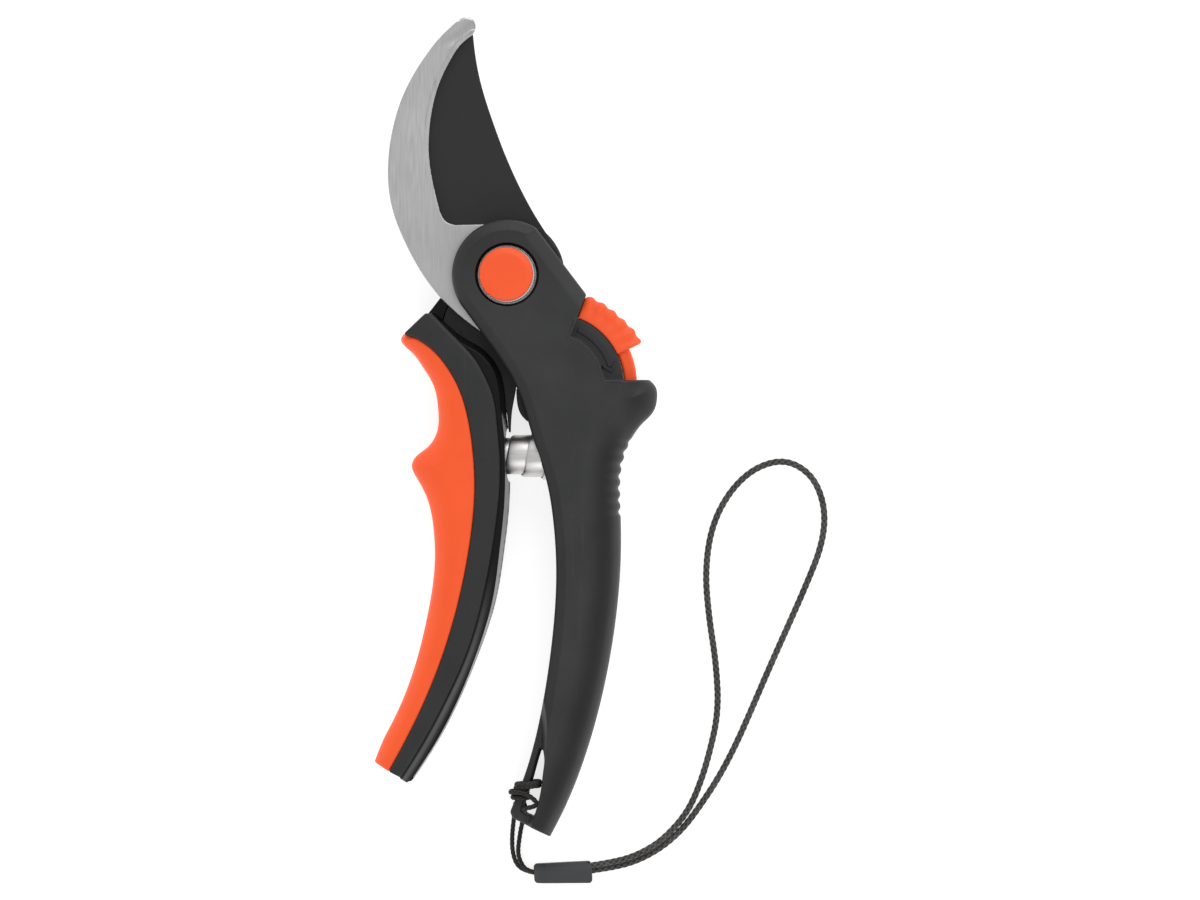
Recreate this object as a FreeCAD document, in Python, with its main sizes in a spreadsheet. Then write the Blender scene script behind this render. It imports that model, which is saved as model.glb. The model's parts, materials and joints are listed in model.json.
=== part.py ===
import FreeCAD, Part
import math
import os

import Sketcher
from FreeCAD import Placement, Rotation, Vector

# Bypass pruner with a thumb lock and a wrist lanyard, lying on its back.
# Millimetres. +X is to the right, +Y towards the blade tips and +Z up, along the pivot bolt.
# The origin is on the resting surface, under the middle of the tool without its lanyard.
# Each sub-part is drawn about the pivot axis (or about the lock pin) and then placed.

SIZES = {
    # where the two axes stand in the tool's frame
    "pivot_x": -2.5,
    "pivot_y": 39.8,
    "lock_x": 12.2,
    "lock_y": -28.7,
    # levels through the stack, from the back face up
    "back_face": 0.0,
    "cheek_top": 5.4,
    "washer_top": 5.9,
    "blade_low": 5.95,
    "blade_high": 8.95,
    "mid_plane": 9.0,
    "hook_high": 12.0,
    "front_face": 18.0,
    "shell_wall": 3.0,
    "lock_recess_depth": 2.6,
    "bumper_low": 4.0,
    "bumper_high": 14.0,
    "core_low": 0.6,
    "core_top": 16.5,
    "handle_edge": 4.0,
    "inner_edge": 2.0,
    "bar_front": 14.0,
    "bar_back": 3.0,
    # pivot
    "hub_radius": 14.4,
    "back_disc_radius": 15.1,
    "blade_disc_radius": 14.7,
    "blade_room_radius": 15.8,
    "bolt_radius": 4.0,
    "bolt_head_radius": 6.5,
    "bolt_head_low": 0.6,
    "bolt_head_high": 3.2,
    "bolt_top": 15.6,
    "bolt_hex_radius": 2.9,
    "bushing_radius": 5.5,
    "thrust_washer_radius": 7.5,
    "spring_washer_radius": 6.6,
    "spring_washer_top": 12.6,
    "running_clearance": 0.03,
    "nut_radius": 7.4,
    "nut_low": 12.65,
    "nut_top": 16.4,
    "cap_radius": 7.0,
    "cap_top": 19.0,
    "cap_edge": 0.8,
    "nut_recess_radius": 7.7,
    "nut_step_radius": 8.3,
    "nut_step": 12.8,
    # blades
    "hook_bevel": 0.6,
    "blade_bevel": 2.0,
    # thumb lock
    "lock_pin_radius": 1.5,
    "lever_low": 6.4,
    "lever_high": 8.6,
    "lever_hub_radius": 4.9,
    "track_radius": 18.4,
    "slider_inner_radius": 18.7,
    "slider_tail_radius": 21.9,
    "slider_pad_radius": 24.9,
    "slider_low": 3.2,
    "slider_high": 15.6,
    "tail_low": 5.0,
    "tail_high": 14.4,
    "lock_gap": 0.2,
    # volute spring
    "spring_y": -47.4,
    "spring_left": -6.5,
    "spring_small_radius": 3.9,
    "spring_strip": 0.4,
    "spring_width": 9.5,
    "spring_pitch": 5.2,
    "spring_turns": 3.6,
    "spring_growth": 0.7,
    "seat_radius": 6.9,
    "seat_end": 22.4,
    # fasteners
    "screw_radius": 1.5,
    "screw_head_radius": 2.9,
    "screw_head_low": 0.8,
    "screw_head_high": 3.0,
    "screw_top": 15.0,
    "rivet_radius": 1.3,
    "blade_rivet_low": 1.6,
    "hook_rivet_top": 16.0,
    # lanyard
    "tie_radius": 0.6,
    "strap_radius": 0.8,
    "clip_length": 15.3,
    "clip_width": 5.5,
    "clip_height": 4.6,
    "clip_x": 14.65,
    "clip_y": -157.35,
    "clip_tilt": 2.9,
}

doc = FreeCAD.newDocument("bypass_pruner")
sheet = doc.addObject("Spreadsheet::Sheet", "Sizes")
for row, (alias, value) in enumerate(SIZES.items(), start=1):
    sheet.set(f"A{row}", alias)
    sheet.set(f"B{row}", str(value))
    sheet.setAlias(f"B{row}", alias)
doc.recompute()

subparts = []


def size(alias):
    """The value of one driving dimension, read back from the sheet."""
    return float(getattr(sheet, alias))


def polar(radius, degrees, centre=(0.0, 0.0)):
    """A point at a radius and an angle about a centre."""
    angle = math.radians(degrees)
    return (centre[0] + radius * math.cos(angle), centre[1] + radius * math.sin(angle))


PIVOT = (0.0, 0.0)
LOCK = (size("lock_x"), size("lock_y"))


# ---------------------------------------------------------------- drawing helpers


def arc(radius, start, end, centre=(0.0, 0.0)):
    """A sketch arc, anticlockwise from start to end, in degrees."""
    circle = Part.Circle(Vector(*centre, 0), Vector(0, 0, 1), radius)
    return Part.ArcOfCircle(circle, math.radians(start), math.radians(end))


def outline(*pieces):
    """Sketch curves of a closed outline, each piece an arc, a line's two ends or a spline's points."""
    curves = []
    for piece in pieces:
        if not isinstance(piece, (list, tuple)):
            curves.append(piece)
        elif len(piece) == 2:
            curves.append(Part.LineSegment(Vector(*piece[0], 0), Vector(*piece[1], 0)))
        else:
            spline = Part.BSplineCurve()
            spline.interpolate([Vector(*point, 0) for point in piece])
            curves.append(spline)
    return curves


def polygon(*points):
    """Sketch lines round a closed polygon."""
    return outline(*[(a, b) for a, b in zip(points, points[1:] + points[:1])])


def ring_sector(inner, outer, start, end, centre=(0.0, 0.0)):
    """Sketch curves of a sector between two radii."""
    return outline(
        arc(inner, start, end, centre),
        (polar(inner, end, centre), polar(outer, end, centre)),
        arc(outer, start, end, centre),
        (polar(inner, start, centre), polar(outer, start, centre)),
    )


def add_body(label, origin=("Sizes.pivot_x", "Sizes.pivot_y", "0")):
    """An empty sub-part, standing on one of the tool's axes."""
    body = doc.addObject("PartDesign::Body", label)
    body.Label = label
    for axis, expression in zip("xyz", origin):
        body.setExpression(f"Placement.Base.{axis}", expression)
    subparts.append(body)
    return body


def lock_body(label):
    """An empty sub-part about the lock pin."""
    return add_body(label, ("Sizes.pivot_x + Sizes.lock_x", "Sizes.pivot_y + Sizes.lock_y", "0"))


def draw(body, curves, level, plane="XY_Plane"):
    """A sketch on one of the body's own planes, raised to a level."""
    sketch = body.newObject("Sketcher::SketchObject", "Sketch")
    support = next(f for f in body.Origin.OriginFeatures if f.Role == plane)
    sketch.AttachmentSupport = (support, [""])
    sketch.MapMode = "FlatFace"
    sketch.setExpression("AttachmentOffset.Base.z", level)
    sketch.addGeometry(curves, False)
    return sketch


def circles(centres, radius):
    """Equal circles at several places."""
    return [(centre, radius) for centre in centres]


def draw_circles(body, places, level):
    """A sketch of circles, each a centre and the sheet expression that drives its radius."""
    sketch = draw(body, [], level)
    for centre, radius in places:
        index = sketch.addGeometry(Part.Circle(Vector(*centre, 0), Vector(0, 0, 1), 1.0), False)
        rule = sketch.addConstraint(Sketcher.Constraint("Radius", index, 1.0))
        sketch.setExpression(f"Constraints[{rule}]", radius)
    return sketch


def pad(body, sketch, low, high):
    """Material from the sketch's level up to another."""
    feature = body.newObject("PartDesign::Pad", "Pad")
    feature.Profile = sketch
    feature.setExpression("Length", f"({high}) - ({low})")
    doc.recompute()
    return feature


def pocket(body, sketch, depth, forward=False):
    """Material taken away below the sketch, or in front of it."""
    before = body.Shape.Volume
    feature = body.newObject("PartDesign::Pocket", "Pocket")
    feature.Profile = sketch
    feature.Reversed = forward
    feature.setExpression("Length", depth)
    doc.recompute()
    if not body.Shape.Volume < before - 1e-6:
        raise RuntimeError(f"a pocket of {body.Label} cuts nothing")
    return feature


def pad_outline(body, curves, low, high):
    return pad(body, draw(body, curves, low), low, high)


def pad_circles(body, places, low, high):
    return pad(body, draw_circles(body, places, low), low, high)


def cut_outline(body, curves, low, high):
    return pocket(body, draw(body, curves, high), f"({high}) - ({low})")


def cut_circles(body, places, low, high):
    return pocket(body, draw_circles(body, places, high), f"({high}) - ({low})")


def picked_edges(body, wanted):
    """The body's last feature with the names of its edges that wanted picks, by middle and length."""
    base = body.Tip
    names = []
    for number, edge in enumerate(base.Shape.Edges, start=1):
        middle = edge.valueAt((edge.FirstParameter + edge.LastParameter) / 2)
        if wanted(middle, edge.Length):
            names.append(f"Edge{number}")
    return (base, names)


def round_edges(body, radius, wanted):
    """A fillet on the picked edges."""
    picked = picked_edges(body, wanted)
    feature = body.newObject("PartDesign::Fillet", "Fillet")
    feature.Base = picked
    feature.setExpression("Radius", radius)
    doc.recompute()
    return feature


def bevel_edges(body, width, wanted):
    """A chamfer on the picked edges."""
    picked = picked_edges(body, wanted)
    feature = body.newObject("PartDesign::Chamfer", "Chamfer")
    feature.Base = picked
    feature.setExpression("Size", width)
    doc.recompute()
    return feature


def on_level(point, level):
    return abs(point.z - level) < 1e-6


# ---------------------------------------------------------------- outlines about the pivot

STEP_RADIUS, RECESS_OUTER_RADIUS = 13.3, 20.0
HUB_LEFT_ANGLE, HUB_RIGHT_ANGLE = 220.0, 58.0
DISC_LEFT_ANGLE, DISC_RIGHT_ANGLE = 216.0, 8.0
RECESS_TOP_ANGLE, SHELF_ANGLE = 70.0, 3.4
SHOULDER = (20.8, -5.2)
TRACK_TOP = polar(size("track_radius"), RECESS_TOP_ANGLE, LOCK)
SHELF_INNER = polar(size("track_radius"), SHELF_ANGLE, LOCK)
SHELF_OUTER = (37.4, SHELF_INNER[1])
HEEL = (11.3, -147.5)
BAR_CORNER = (1.5, -142.6)
BAR_SIDE = (0.8, -141.0)

HORN_END = (31.6, -44.0)
HORN_EDGE = [SHELF_OUTER, (39.0, -29.4), (39.4, -32.3), (38.5, -35.8), (35.2, -39.4), HORN_END]
OUTER_EDGE = [HORN_END, (29.4, -50.0), (28.8, -57.0), (29.3, -66.0), (29.2, -76.0), (28.4, -87.5),
              (25.8, -104.3), (21.0, -123.3), (14.2, -141.5), HEEL]
INNER_EDGE = [BAR_SIDE, (4.5, -131.7), (8.9, -114.9), (11.8, -95.9), (12.9, -78.0), (12.1, -64.4),
              (10.3, -53.9), (7.0, -43.4), (2.1, -28.6), (-6.7, -15.2)]
GRIP_BOTTOM = (-34.4, -128.0)
SEAM_TOP, SEAM_BOTTOM = (-27.0, -15.5), (-30.9, -130.3)
FINGER_STOP_END = (-23.9, -53.0)
FINGER_STOP = [SEAM_TOP, (-27.8, -16.7), (-25.2, -20.2), (-22.0, -24.4), (-19.4, -28.8), (-18.1, -35.0),
               (-18.4, -41.3), (-21.0, -45.4), (-24.3, -48.2), (-25.0, -50.3), FINGER_STOP_END]
GRIP_EDGE = [FINGER_STOP_END, (-21.2, -58.1), (-19.3, -66.5), (-19.0, -76.0), (-20.8, -89.0),
             (-24.7, -104.3), (-29.7, -117.0), GRIP_BOTTOM]
SEAM = [SEAM_TOP, (-23.9, -16.6), (-18.9, -20.2), (-15.5, -24.4), (-13.1, -28.6), (-10.8, -35.0),
        (-9.2, -43.5), (-8.4, -55.0), (-9.7, -70.7), (-13.1, -87.5), (-18.4, -104.3), (-26.0, -121.2),
        SEAM_BOTTOM]
SHELL_TOP_LEFT, SHELL_TOP_RIGHT = (-21.4, -10.2), (-19.6, -10.2)
GROOVE_BOTTOM = (-27.7, -132.0)
GROOVE = [SHELL_TOP_RIGHT, (-15.3, -14.7), (-11.8, -18.2), (-8.3, -22.2), (-6.0, -26.2), (-3.7, -31.8),
          (-2.5, -40.0), (-1.8, -50.0), (-2.6, -63.0), (-6.2, -84.0), (-10.3, -98.5), (-15.8, -111.0),
          (-23.0, -124.3), GROOVE_BOTTOM]
CORE_BOTTOM = (-24.5, -132.6)
CORE_SIDE = [(-0.2, -36.0), (0.5, -42.0), (0.8, -50.0), (0.6, -60.0), (-0.8, -72.8), (-2.9, -85.4),
             (-7.0, -98.0), (-12.6, -110.7), (-19.2, -123.3), CORE_BOTTOM]
CORE_EDGE = [(-19.2, -9.8), (-14.6, -14.0), (-10.6, -17.0), (-7.2, -18.9), (-4.4, -21.4), (-1.9, -25.4),
             (-0.6, -31.0)] + CORE_SIDE
TANG_RIGHT = [polar(size("blade_disc_radius"), -60.0), (3.9, -21.0), (2.75, -26.5), (1.85, -33.0),
              (0.85, -41.2)]
TANG_END = (0.4, -41.2)
TANG_LEFT = [(0.55, -34.0), (-2.2, -33.0), (-9.5, -27.0), (-14.0, -21.5), (-17.0, -14.5),
             polar(size("blade_disc_radius"), 201.0)]
LANYARD_HOLE = outline(
    [(9.15, -124.6), (8.4, -127.0), (6.9, -132.4), (4.3, -140.4)],
    [(4.3, -140.4), (7.0, -142.3)],
    [(7.0, -142.3), (7.3, -141.7)],
    [(7.3, -141.7), (8.0, -139.3), (8.9, -135.1), (9.5, -130.2), (9.8, -127.0), (9.5, -124.9)],
    [(9.5, -124.9), (9.15, -124.6)],
)
BUMPER = outline(
    [(2.45, -29.6), (2.45, -31.4), (2.65, -33.6), (3.6, -36.6), (5.3, -38.5)],
    [(5.3, -38.5), (8.3, -38.5)],
    [(8.3, -38.5), (6.0, -29.6)],
    [(6.0, -29.6), (2.45, -29.6)],
)
SCREW_PLACES = [(12.0, -17.0), (21.0, -61.5), (19.0, -110.0)]
HOOK_RIVET_PLACES = [polar(11.0, 200.0), polar(11.2, -60.0)]
BLADE_RIVET_PLACES = [(-13.2, -15.8), (-6.8, -23.0)]
TAIL_START, TAIL_END, PAD_START, PAD_END = -12.0, 26.0, 25.0, 69.0
ARM_START, ARM_END, ARM_DEPTH = 46.0, 60.0, 2.2
SLIDER_RIBS = 6
CATCH_RADIUS, CATCH_START, CATCH_END = 8.8, 150.0, 172.0
LEAF_INNER, LEAF_OUTER, LEAF_START, LEAF_END = 5.6, 6.1, 250.0, 320.0
LOCK_TRAVEL = 20.0
FLUTES, FLUTE_START, FLUTE_PITCH = 8, -46.0, 2.4


def fixed_outline(radius, left_angle, right_angle):
    """The fixed handle seen from the front, with a round head of the given radius and reach."""
    return outline(
        arc(radius, right_angle, left_angle),
        [polar(radius, right_angle), SHOULDER],
        [SHOULDER, TRACK_TOP],
        arc(size("track_radius"), SHELF_ANGLE, RECESS_TOP_ANGLE, LOCK),
        [SHELF_INNER, SHELF_OUTER],
        HORN_EDGE,
        OUTER_EDGE,
        [HEEL, BAR_CORNER],
        [BAR_CORNER, BAR_SIDE],
        INNER_EDGE + [polar(radius, left_angle)],
    )


def tail_slot():
    """Room under the shelf for the slider's tail over its whole travel."""
    gap = size("lock_gap")
    return ring_sector(
        size("slider_inner_radius") - gap,
        size("slider_tail_radius") + gap,
        TAIL_START - LOCK_TRAVEL - 2.0,
        5.0,
        LOCK,
    )


def grip_cavity():
    """The hollow that leaves an even wall inside each half of the fixed handle's grip."""
    return outline(
        [(16.3, -68.5), (16.4, -78.0), (15.4, -90.0), (13.7, -102.0)],
        [(13.7, -102.0), (22.4, -102.0)],
        [(22.4, -102.0), (24.4, -90.0), (25.3, -78.0), (25.2, -68.5)],
        [(25.2, -68.5), (16.3, -68.5)],
    )


def cut_spring_seat(body, end, start="0"):
    """Half or all of a round seat along X, as far as a given X, for the volute spring."""
    sketch = draw(body, [], start, "YZ_Plane")
    centre = Vector(size("spring_y"), size("mid_plane"), 0)
    index = sketch.addGeometry(Part.Circle(centre, Vector(0, 0, 1), 1.0), False)
    rule = sketch.addConstraint(Sketcher.Constraint("Radius", index, 1.0))
    sketch.setExpression(f"Constraints[{rule}]", "Sizes.seat_radius")
    pocket(body, sketch, f"({end}) - ({start})", forward=True)


# ---------------------------------------------------------------- fixed handle


def edge_ribs():
    """Shallow flutes across the outer edge below the horn, which leave grip ribs between them."""
    flutes = []
    for number in range(FLUTES):
        y = FLUTE_START - FLUTE_PITCH * number
        x = 28.9 + 0.012 * (y + 58.0) ** 2
        flutes.append(((x + 0.75, y), "1.1"))
    return flutes


def bar_thinning():
    """Round the lanyard hole, where the handle is thinner, with the bar on its left."""
    return outline(
        [(9.2, -106.5), (10.4, -111.0), (11.0, -116.0), (11.0, -121.0), (10.5, -128.0), (9.6, -134.0),
         (8.3, -140.5), (6.3, -147.5)],
        [(6.3, -147.5), (-5.0, -147.5)],
        [(-5.0, -147.5), (-5.0, -106.5)],
        [(-5.0, -106.5), (9.2, -106.5)],
    )


def soften_handle(body, level):
    """Large rounding on the outer side of the grip and less on the inner side."""
    height = size(level)
    long_edge = 100.0
    outer = lambda p, length: on_level(p, height) and p.x > 20 and length > long_edge
    inner = lambda p, length: on_level(p, height) and p.x < 13 and length > long_edge
    round_edges(body, "Sizes.handle_edge", outer)
    round_edges(body, "Sizes.inner_edge", inner)


def fixed_handle_front_shell():
    body = add_body("fixed_handle_front_shell")
    low, top = "Sizes.mid_plane", "Sizes.front_face"
    wall, hook_top = "Sizes.front_face - Sizes.shell_wall", "Sizes.hook_high"
    recess_floor = "Sizes.front_face - Sizes.lock_recess_depth"
    pad_outline(body, fixed_outline(size("hub_radius"), HUB_LEFT_ANGLE, HUB_RIGHT_ANGLE), low, top)
    soften_handle(body, "front_face")
    cut_circles(body, [(PIVOT, "Sizes.nut_recess_radius")], hook_top, top)
    cut_circles(body, [(PIVOT, "Sizes.nut_step_radius")], "Sizes.nut_step", top)
    cut_outline(body, hook_base(), low, hook_top)
    recess = ring_sector(STEP_RADIUS, RECESS_OUTER_RADIUS, SHELF_ANGLE - 1.0, RECESS_TOP_ANGLE - 0.1, LOCK)
    cut_outline(body, recess, recess_floor, top)
    cut_outline(body, tail_slot(), low, "Sizes.tail_high + Sizes.lock_gap")
    cut_outline(body, LANYARD_HOLE, low, top)
    cut_outline(body, bar_thinning(), "Sizes.bar_front", top)
    cut_outline(body, BUMPER, low, "Sizes.bumper_high")
    cut_outline(body, grip_cavity(), low, wall)
    cut_spring_seat(body, "Sizes.seat_end")
    cut_circles(body, edge_ribs(), low, top)
    cut_circles(body, circles(SCREW_PLACES, "Sizes.screw_radius"), low, "Sizes.screw_top")
    cut_circles(body, circles(HOOK_RIVET_PLACES, "Sizes.rivet_radius"), hook_top, "Sizes.hook_rivet_top")
    cut_circles(body, [(LOCK, "Sizes.lock_pin_radius")], low, "Sizes.screw_top")
    return body


def blade_room():
    """The gap between the two cheeks, in which the blade turns, open towards the moving handle."""
    room = size("blade_room_radius")
    return outline(
        arc(room, -50.0, 170.0),
        [polar(room, 170.0), (-20.0, 2.7)],
        [(-20.0, 2.7), (-20.0, -32.0)],
        [(-20.0, -32.0), (2.9, -32.0)],
        [(2.9, -32.0), (3.1, -27.0)],
        [(3.1, -27.0), (4.6, -21.0)],
        [(4.6, -21.0), polar(room, -50.0)],
    )


def fixed_handle_back_shell():
    body = add_body("fixed_handle_back_shell")
    low, top, wall = "Sizes.back_face", "Sizes.mid_plane", "Sizes.back_face + Sizes.shell_wall"
    pad_outline(body, fixed_outline(size("back_disc_radius"), DISC_LEFT_ANGLE, DISC_RIGHT_ANGLE), low, top)
    soften_handle(body, "back_face")
    cut_outline(body, blade_room(), "Sizes.cheek_top", top)
    lever_room = "Sizes.lever_low - Sizes.lock_gap"
    arm_sweep = ring_sector(0.5, RECESS_OUTER_RADIUS, ARM_START - LOCK_TRAVEL - 3.0, ARM_END + 3.0, LOCK)
    catch_sweep = ring_sector(0.5, CATCH_RADIUS + 0.4, CATCH_START - LOCK_TRAVEL - 4.0, CATCH_END + 4.0, LOCK)
    leaf_room = ring_sector(0.5, LEAF_OUTER + 0.3, LEAF_START - 4.0, LEAF_END + 4.0, LOCK)
    for room in (arm_sweep, catch_sweep, leaf_room):
        cut_outline(body, room, lever_room, top)
    cut_circles(body, [(LOCK, "Sizes.lever_hub_radius + Sizes.lock_gap")], lever_room, top)
    cut_outline(body, tail_slot(), "Sizes.tail_low - Sizes.lock_gap", top)
    cut_outline(body, LANYARD_HOLE, low, top)
    cut_outline(body, bar_thinning(), low, "Sizes.bar_back")
    cut_outline(body, BUMPER, "Sizes.bumper_low", top)
    cut_outline(body, grip_cavity(), wall, top)
    cut_spring_seat(body, "Sizes.seat_end")
    cut_circles(body, edge_ribs(), low, top)
    cut_circles(body, [(PIVOT, "Sizes.bolt_head_radius")], low, "Sizes.bolt_head_high")
    cut_circles(body, [(PIVOT, "Sizes.bolt_radius")], "Sizes.bolt_head_high", "Sizes.cheek_top")
    cut_circles(body, circles(SCREW_PLACES, "Sizes.screw_head_radius"), low, "Sizes.screw_head_high")
    cut_circles(body, circles(SCREW_PLACES, "Sizes.screw_radius"), "Sizes.screw_head_high", top)
    cut_circles(body, [(LOCK, "Sizes.lock_pin_radius")], wall, lever_room)
    return body


HOOK_TIP = [(-8.9, 63.2), (-8.3, 64.6), (-8.3, 66.0), (-9.2, 67.3), (-10.8, 67.8), (-12.6, 67.1)]
HOOK_BACK = [HOOK_TIP[-1], (-17.6, 62.4), (-21.8, 57.0), (-26.4, 49.2), (-30.0, 38.6), (-31.3, 28.0),
             (-30.2, 17.6), (-27.1, 9.2), (-22.6, 0.8), (-16.0, -7.6), (-11.3, -11.8), (-7.1, -14.9)]
HOOK_INNER = [HOOK_TIP[0], (-12.4, 60.2), (-15.0, 56.2), (-17.2, 51.8), (-19.0, 46.4), (-20.4, 38.0),
              (-20.5, 31.5), (-19.7, 25.4), (-17.6, 16.6)]
HOOK_BASE_RADIUS = 13.4
HOOK_HEEL = (-2.0, -17.2)


def hook_base():
    """The seat of the counter blade in the fixed handle's front half, open to the left."""
    return outline(
        arc(HOOK_BASE_RADIUS, -60.0, 90.0),
        [(0.0, HOOK_BASE_RADIUS), (-30.0, HOOK_BASE_RADIUS)],
        [(-30.0, HOOK_BASE_RADIUS), (-30.0, -18.0)],
        [(-30.0, -18.0), HOOK_HEEL],
        [HOOK_HEEL, polar(HOOK_BASE_RADIUS, -60.0)],
    )


def hook_outline():
    return outline(
        HOOK_BACK,
        [HOOK_BACK[-1], HOOK_HEEL],
        [HOOK_HEEL, polar(HOOK_BASE_RADIUS, -60.0)],
        arc(HOOK_BASE_RADIUS, -60.0, 90.0),
        [(0.0, HOOK_BASE_RADIUS), (-13.5, 13.1)],
        [(-13.5, 13.1), (-16.0, 14.0), HOOK_INNER[-1]],
        list(reversed(HOOK_INNER)),
        HOOK_TIP,
    )


def hook_blade():
    """The blunt counter blade, bevelled along the front of its inner edge."""
    body = add_body("hook_blade")
    low, top = "Sizes.mid_plane", "Sizes.hook_high"
    front = size("hook_high")
    pad_outline(body, hook_outline(), low, top)
    bevel_edges(body, "Sizes.hook_bevel", lambda p, length: on_level(p, front) and 45 < length < 60)
    bores = circles(HOOK_RIVET_PLACES, "Sizes.rivet_radius")
    cut_circles(body, bores + [(PIVOT, "Sizes.bolt_radius")], low, top)
    return body


def hook_rivets():
    body = add_body("hook_rivets")
    rivets = circles(HOOK_RIVET_PLACES, "Sizes.rivet_radius")
    pad_circles(body, rivets, "Sizes.mid_plane", "Sizes.hook_rivet_top")
    return body


def handle_screws():
    """Countersunk from the back: a head in the back shell and a shank up into the front shell."""
    body = add_body("handle_screws")
    head_low, head_high = "Sizes.screw_head_low", "Sizes.screw_head_high"
    pad_circles(body, circles(SCREW_PLACES, "Sizes.screw_head_radius"), head_low, head_high)
    pad_circles(body, circles(SCREW_PLACES, "Sizes.screw_radius"), head_high, "Sizes.screw_top")
    for long, wide in ((1.7, 0.4), (0.4, 1.7)):
        slots = []
        for x, y in SCREW_PLACES:
            corners = ((x - long, y - wide), (x + long, y - wide), (x + long, y + wide), (x - long, y + wide))
            slots += polygon(*corners)
        cut_outline(body, slots, head_low, f"{head_low} + 1.2")
    return body


def closing_bumper():
    """The rubber stop on the inner side that softens the end of the stroke."""
    body = add_body("closing_bumper")
    pad_outline(body, BUMPER, "Sizes.bumper_low", "Sizes.bumper_high")
    return body


def lock_pin():
    body = lock_body("lock_pin")
    pad_circles(body, [(PIVOT, "Sizes.lock_pin_radius")], "Sizes.shell_wall", "Sizes.screw_top")
    return body


def lock_detent_spring():
    """A curved leaf beside the lever's hub, which holds the lock at either end of its travel."""
    body = lock_body("lock_detent_spring")
    leaf = ring_sector(LEAF_INNER, LEAF_OUTER, LEAF_START, LEAF_END)
    pad_outline(body, leaf, "Sizes.lever_low", "Sizes.lever_high")
    return body


# ---------------------------------------------------------------- pivot


def pivot_bolt():
    """The bolt, with its hexagon socket at the back."""
    body = add_body("pivot_bolt")
    head_low, head_high = "Sizes.bolt_head_low", "Sizes.bolt_head_high"
    pad_circles(body, [(PIVOT, "Sizes.bolt_head_radius")], head_low, head_high)
    pad_circles(body, [(PIVOT, "Sizes.bolt_radius")], head_high, "Sizes.bolt_top")
    corners = [polar(size("bolt_hex_radius"), 60.0 * step) for step in range(6)]
    cut_outline(body, polygon(*corners), head_low, f"{head_low} + 1.8")
    return body


def ring(label, radius, low, top):
    """A flat ring that turns on the pivot bolt."""
    body = add_body(label)
    bore = "Sizes.bolt_radius + Sizes.running_clearance"
    pad_circles(body, [(PIVOT, radius), (PIVOT, bore)], low, top)
    return body


def pivot_rings():
    ring("thrust_washer", "Sizes.thrust_washer_radius", "Sizes.cheek_top", "Sizes.washer_top")
    ring("blade_bushing", "Sizes.bushing_radius", "Sizes.blade_low", "Sizes.blade_high")
    ring("spring_washer", "Sizes.spring_washer_radius", "Sizes.hook_high", "Sizes.spring_washer_top")
    ring("pivot_nut", "Sizes.nut_radius", "Sizes.nut_low", "Sizes.nut_top")


def pivot_cap():
    """The round cover pressed onto the nut."""
    body = add_body("pivot_cap")
    pad_circles(body, [(PIVOT, "Sizes.cap_radius")], "Sizes.nut_top", "Sizes.cap_top")
    top = size("cap_top")
    round_edges(body, "Sizes.cap_edge", lambda p, length: on_level(p, top))
    return body


# ---------------------------------------------------------------- thumb lock


def lock_lever():
    """The inner lever: a hub on the pin, an arm out to the slider and a short catch."""
    body = lock_body("lock_lever")
    low, top = "Sizes.lever_low", "Sizes.lever_high"
    reach = size("slider_inner_radius") + ARM_DEPTH
    pad_circles(body, [(PIVOT, "Sizes.lever_hub_radius")], low, top)
    pad_outline(body, ring_sector(2.5, reach, ARM_START, ARM_END), low, top)
    pad_outline(body, ring_sector(2.5, CATCH_RADIUS, CATCH_START, CATCH_END), low, top)
    cut_circles(body, [(PIVOT, "Sizes.lock_pin_radius + Sizes.running_clearance")], low, top)
    return body


def lock_slider():
    """The thumb piece: a ribbed pad and a thinner tail, on one arc about the lock pin."""
    body = lock_body("lock_slider")
    inner, tail = size("slider_inner_radius"), size("slider_tail_radius")
    outer = size("slider_pad_radius")
    low, high = "Sizes.slider_low", "Sizes.slider_high"
    pad_outline(body, ring_sector(inner, outer, PAD_START, PAD_END), low, high)
    pad_outline(body, ring_sector(inner, tail, TAIL_START, TAIL_END), "Sizes.tail_low", "Sizes.tail_high")
    step = (PAD_END - PAD_START) / SLIDER_RIBS
    middles = [PAD_START + step * (number + 0.5) for number in range(SLIDER_RIBS)]
    cut_circles(body, circles([polar(outer + 1.3, angle) for angle in middles], "1.9"), low, high)
    arm_slot = ring_sector(inner - 0.5, inner + ARM_DEPTH, ARM_START, ARM_END)
    cut_outline(body, arm_slot, "Sizes.lever_low", "Sizes.lever_high")
    return body


# ---------------------------------------------------------------- moving handle

BLADE_TIP = (-9.2, 66.0)
BLADE_SPINE = [BLADE_TIP, (-8.4, 58.0), (-6.6, 49.2), (-3.9, 40.7), (-0.8, 32.3), (2.9, 23.9), (7.4, 15.5),
               polar(size("blade_disc_radius"), 28.8)]
BLADE_EDGE = [polar(size("blade_disc_radius"), 172.0), (-15.6, 7.0), (-18.6, 14.5), (-21.6, 23.0),
              (-23.0, 33.0), (-22.0, 43.5), (-18.8, 53.0), (-14.6, 60.2), BLADE_TIP]


def tang_outline():
    """The blade's tang, which lies in the core, as a closed shape."""
    return outline(
        TANG_RIGHT,
        [TANG_RIGHT[-1], TANG_END],
        [TANG_END, TANG_LEFT[0]],
        TANG_LEFT,
        arc(size("blade_disc_radius"), 201.0, 300.0),
    )


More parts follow.
